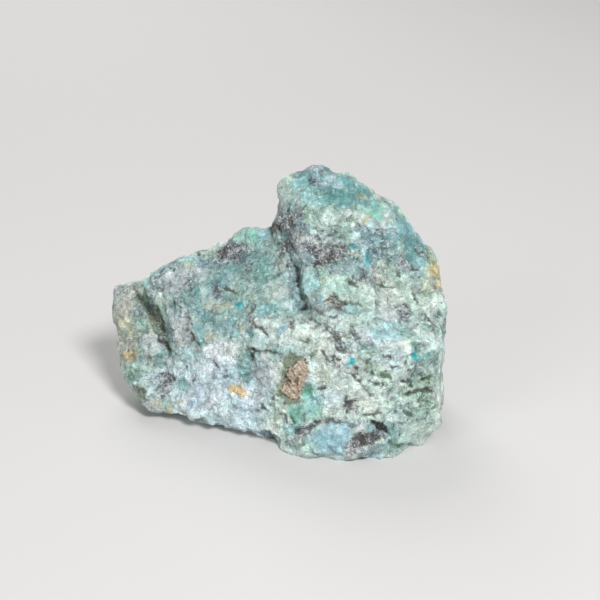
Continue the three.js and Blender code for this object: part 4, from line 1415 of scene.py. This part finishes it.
class StoneShader(Shader):
    """The stone's material, made from patterns of cells and splinters and from the mesh's own values."""

    def __init__(self):
        super().__init__("turquoise_in_matrix")
        mm = self.vector("MULTIPLY", self.node("ShaderNodeTexCoord").outputs["Object"], (1 / MM,) * 3)
        shake = self.vector("SUBTRACT", self.noise(mm, BENDS, **BEND_NOISE), GREY)
        bent = self.vector("ADD", mm, shake)
        self.bent = bent
        self.tone = self.attribute("tone", "Color")
        self.dark, self.white, self.broken = map(self.attribute, ("dark", "white", "broken"))
        self.mark, self.crest, self.edge = map(self.attribute, ("mark", "crest", "edge"))
        self.flakes, self.chips = self.cells(bent, FLAKES), self.cells(bent, CHIPS)
        self.grains = self.cells(bent, GRAINS)
        self.flake_pick, self.chip_pick = self.picks(self.flakes), self.picks(self.chips)
        self.grain_pick = self.picks(self.grains)
        self.wide = self.splinters(bent, self.flakes, WIDE_SPLINTERS)
        self.slim = self.splinters(bent, self.chips, SLIM_SPLINTERS)
        self.fine = self.noise(bent, FINE_GRAINS, **FINE_NOISE)
        self.cluster = self.noise(bent, CLUSTERS, **CLUSTER_NOISE)
        self.streak = self.total((self.wide, self.slim), STREAK_TERMS)

    def body(self):
        """The body colour, a little different in each flake and chip; where broken, lighter on the
        splinters' crests and darker between them, partly streaky tone and partly painted highlight and
        shade.
        """
        colour = self.tinted(self.tone, self.noise(self.bent, MOTTLES, **MOTTLE_NOISE), MOTTLE_TINT)
        colour = self.tinted(colour, self.flake_pick[0], FLAKE_TINT)
        colour = self.tinted(colour, self.chip_pick[0], CHIP_TINT)
        colour = self.tinted(colour, self.fine, FINE_TINT)
        return self.mix(self.broken, colour, self.tinted(colour, self.streak, STREAK_TONE_AND_SHADE))

    def darkness(self):
        """How much of the dark gaps between the splinters shows; they gather in places, and sit deeper in
        the hollows of the relief and of the splinters' bump, partly as painted shade.
        """
        gathered = self.times(self.dark, self.range(self.cluster, *DARK_GATHER))
        level = self.total((gathered, self.crest, self.grain_pick[0]), DARK_TERMS)
        depth = self.math("SUBTRACT", self.math("ADD", level, DARK_LEVEL), self.streak)
        width = self.times(self.dark, DARK_JOINT_WIDTH)
        gaps = self.joints(self.bent, FLAKES, width, self.flake_pick[1], gathered)
        return self.math("MAXIMUM", self.range(depth, *DARK_SPAN), self.times(gaps, DARK_JOINT_STRENGTH))

    def whiteness(self):
        """How much of the white splinters and of the white edges to some chips shows; the splinters are
        whiter on the crests of the relief and of their own bump, partly as a painted highlight.
        """
        spread = self.times(self.white, self.range(self.cluster, *WHITE_SPREAD))
        level = self.total((spread, self.crest, self.grain_pick[1]), WHITE_TERMS)
        lift = self.math("SUBTRACT", self.total((self.wide, self.slim), RISE_TERMS), WHITE_LEVEL)
        rise = self.range(self.math("ADD", lift, level), *WHITE_SPAN)
        width, share = self.times(self.white, WHITE_JOINT_WIDTH), self.times(self.white, WHITE_JOINT_SHARE)
        rims = self.joints(self.bent, CHIPS, width, self.chip_pick[1], share)
        return self.math("MAXIMUM", rise, self.times(rims, WHITE_JOINT_STRENGTH))

    def marked(self):
        """How much of the named dark marks shows, broken up by the splinters."""
        ragged = self.total((self.mark, self.wide, self.slim, self.chip_pick[2]), MARK_TERMS)
        return self.times(self.range(ragged, *MARK_SPAN), MARK_STRENGTH)

    def colour(self, darkness, whiteness):
        """The body with gaps, marks and white splinters; painted shade in the hollows, a painted highlight
        on the crests, and broad edges paler, partly as wear and partly as a painted highlight.
        """
        greying = self.range(self.dark, *DARK_GREYING)
        dark_colour = self.mix(greying, self.filtered(self.tone, DEEP_FILTER), DARK_GRAIN)
        white_colour = self.mix(WHITE_PURITY, self.tone, WHITE_GRAIN)
        # Broad edges paler: partly wear, partly a painted highlight.
        worn_and_highlit = self.times(self.range(self.edge, *WORN_AND_HIGHLIT_EDGE_SPAN), WORN_AND_HIGHLIT_EDGE_STRENGTH)
        colour = self.mix(darkness, self.body(), dark_colour)
        colour = self.mix(self.marked(), colour, self.filtered(self.tone, MARK_FILTER))
        colour = self.mix(whiteness, colour, white_colour)
        # Painted shade in the hollows and a painted highlight on the crests.
        colour = self.tinted(colour, self.crest, HOLLOW_SHADE_CREST_HIGHLIGHT)
        return self.mix(worn_and_highlit, colour, white_colour)

    def bump(self, darkness, whiteness):
        """Normals tilted by flakes, chips, grains and splinters."""
        tilts = [self.tilt(self.bent, cells) for cells in (self.flakes, self.chips, self.grains)]
        height = self.total((*tilts, self.wide, self.slim, self.fine, darkness, whiteness), BUMP_TERMS)
        strength = self.range(self.broken, *BUMP_SPAN)
        inputs = {"Height": height, "Strength": strength, "Distance": BUMP_DISTANCE}
        return self.node("ShaderNodeBump", inputs).outputs["Normal"]


def stone_material():
    shader = StoneShader()
    inputs = shader.surface.inputs
    darkness, whiteness = shader.darkness(), shader.whiteness()
    shader.put(shader.colour(darkness, whiteness), inputs["Base Color"])
    shader.put(shader.range(shader.grain_pick[2], *ROUGHNESS_SPAN), inputs["Roughness"])
    shader.put(shader.bump(darkness, whiteness), inputs["Normal"])
    return shader.material


stone.data.materials.append(stone_material())


# ---------------------------------------------------------------- floor and light
FLOOR_HALF = 8.0            # half the floor's side, in metres
FLOOR_COLOUR = (0.62, 0.61, 0.6, 1)
FLOOR_ROUGHNESS = 0.9

# Each lamp's place and width in metres, and its power in watts; all of them point at LIGHT_AIM.
LIGHT_AIM = (0, 0, 0.02)
LIGHTS = {
    "key": ((0.24, -0.45, 0.52), 0.2, 4.82),
    "fill": ((-0.45, -0.4, 0.25), 0.4, 1.0),
    "back": ((-0.15, 0.5, 0.45), 0.4, 1.8),
}
WORLD_COLOUR = (1, 1, 1, 1)
WORLD_STRENGTH = 0.30


def make_floor():
    data = bpy.data.meshes.new("floor")
    corners = [(-1, -1), (1, -1), (1, 1), (-1, 1)]
    data.from_pydata([(x * FLOOR_HALF, y * FLOOR_HALF, 0) for x, y in corners], [], [(0, 1, 2, 3)])
    floor = bpy.data.objects.new("floor", data)
    bpy.context.scene.collection.objects.link(floor)
    shader = Shader("floor")
    shader.put(FLOOR_COLOUR, shader.surface.inputs["Base Color"])
    shader.put(FLOOR_ROUGHNESS, shader.surface.inputs["Roughness"])
    data.materials.append(shader.material)


def make_light(name, place, size, power):
    data = bpy.data.lights.new(name, "AREA")
    data.shape = "DISK"
    data.size = size
    data.energy = power
    light = bpy.data.objects.new(name, data)
    light.location = place
    light.rotation_euler = (Vector(LIGHT_AIM) - Vector(place)).to_track_quat("-Z", "Y").to_euler()
    bpy.context.scene.collection.objects.link(light)


def make_world():
    world = bpy.data.worlds.new("studio")
    world.use_nodes = True
    background = world.node_tree.nodes["Background"]
    background.inputs["Color"].default_value = WORLD_COLOUR
    background.inputs["Strength"].default_value = WORLD_STRENGTH
    bpy.context.scene.world = world
    bpy.context.scene.view_settings.view_transform = "Standard"


make_camera()
make_floor()
for name, settings in LIGHTS.items():
    make_light(name, *settings)
make_world()
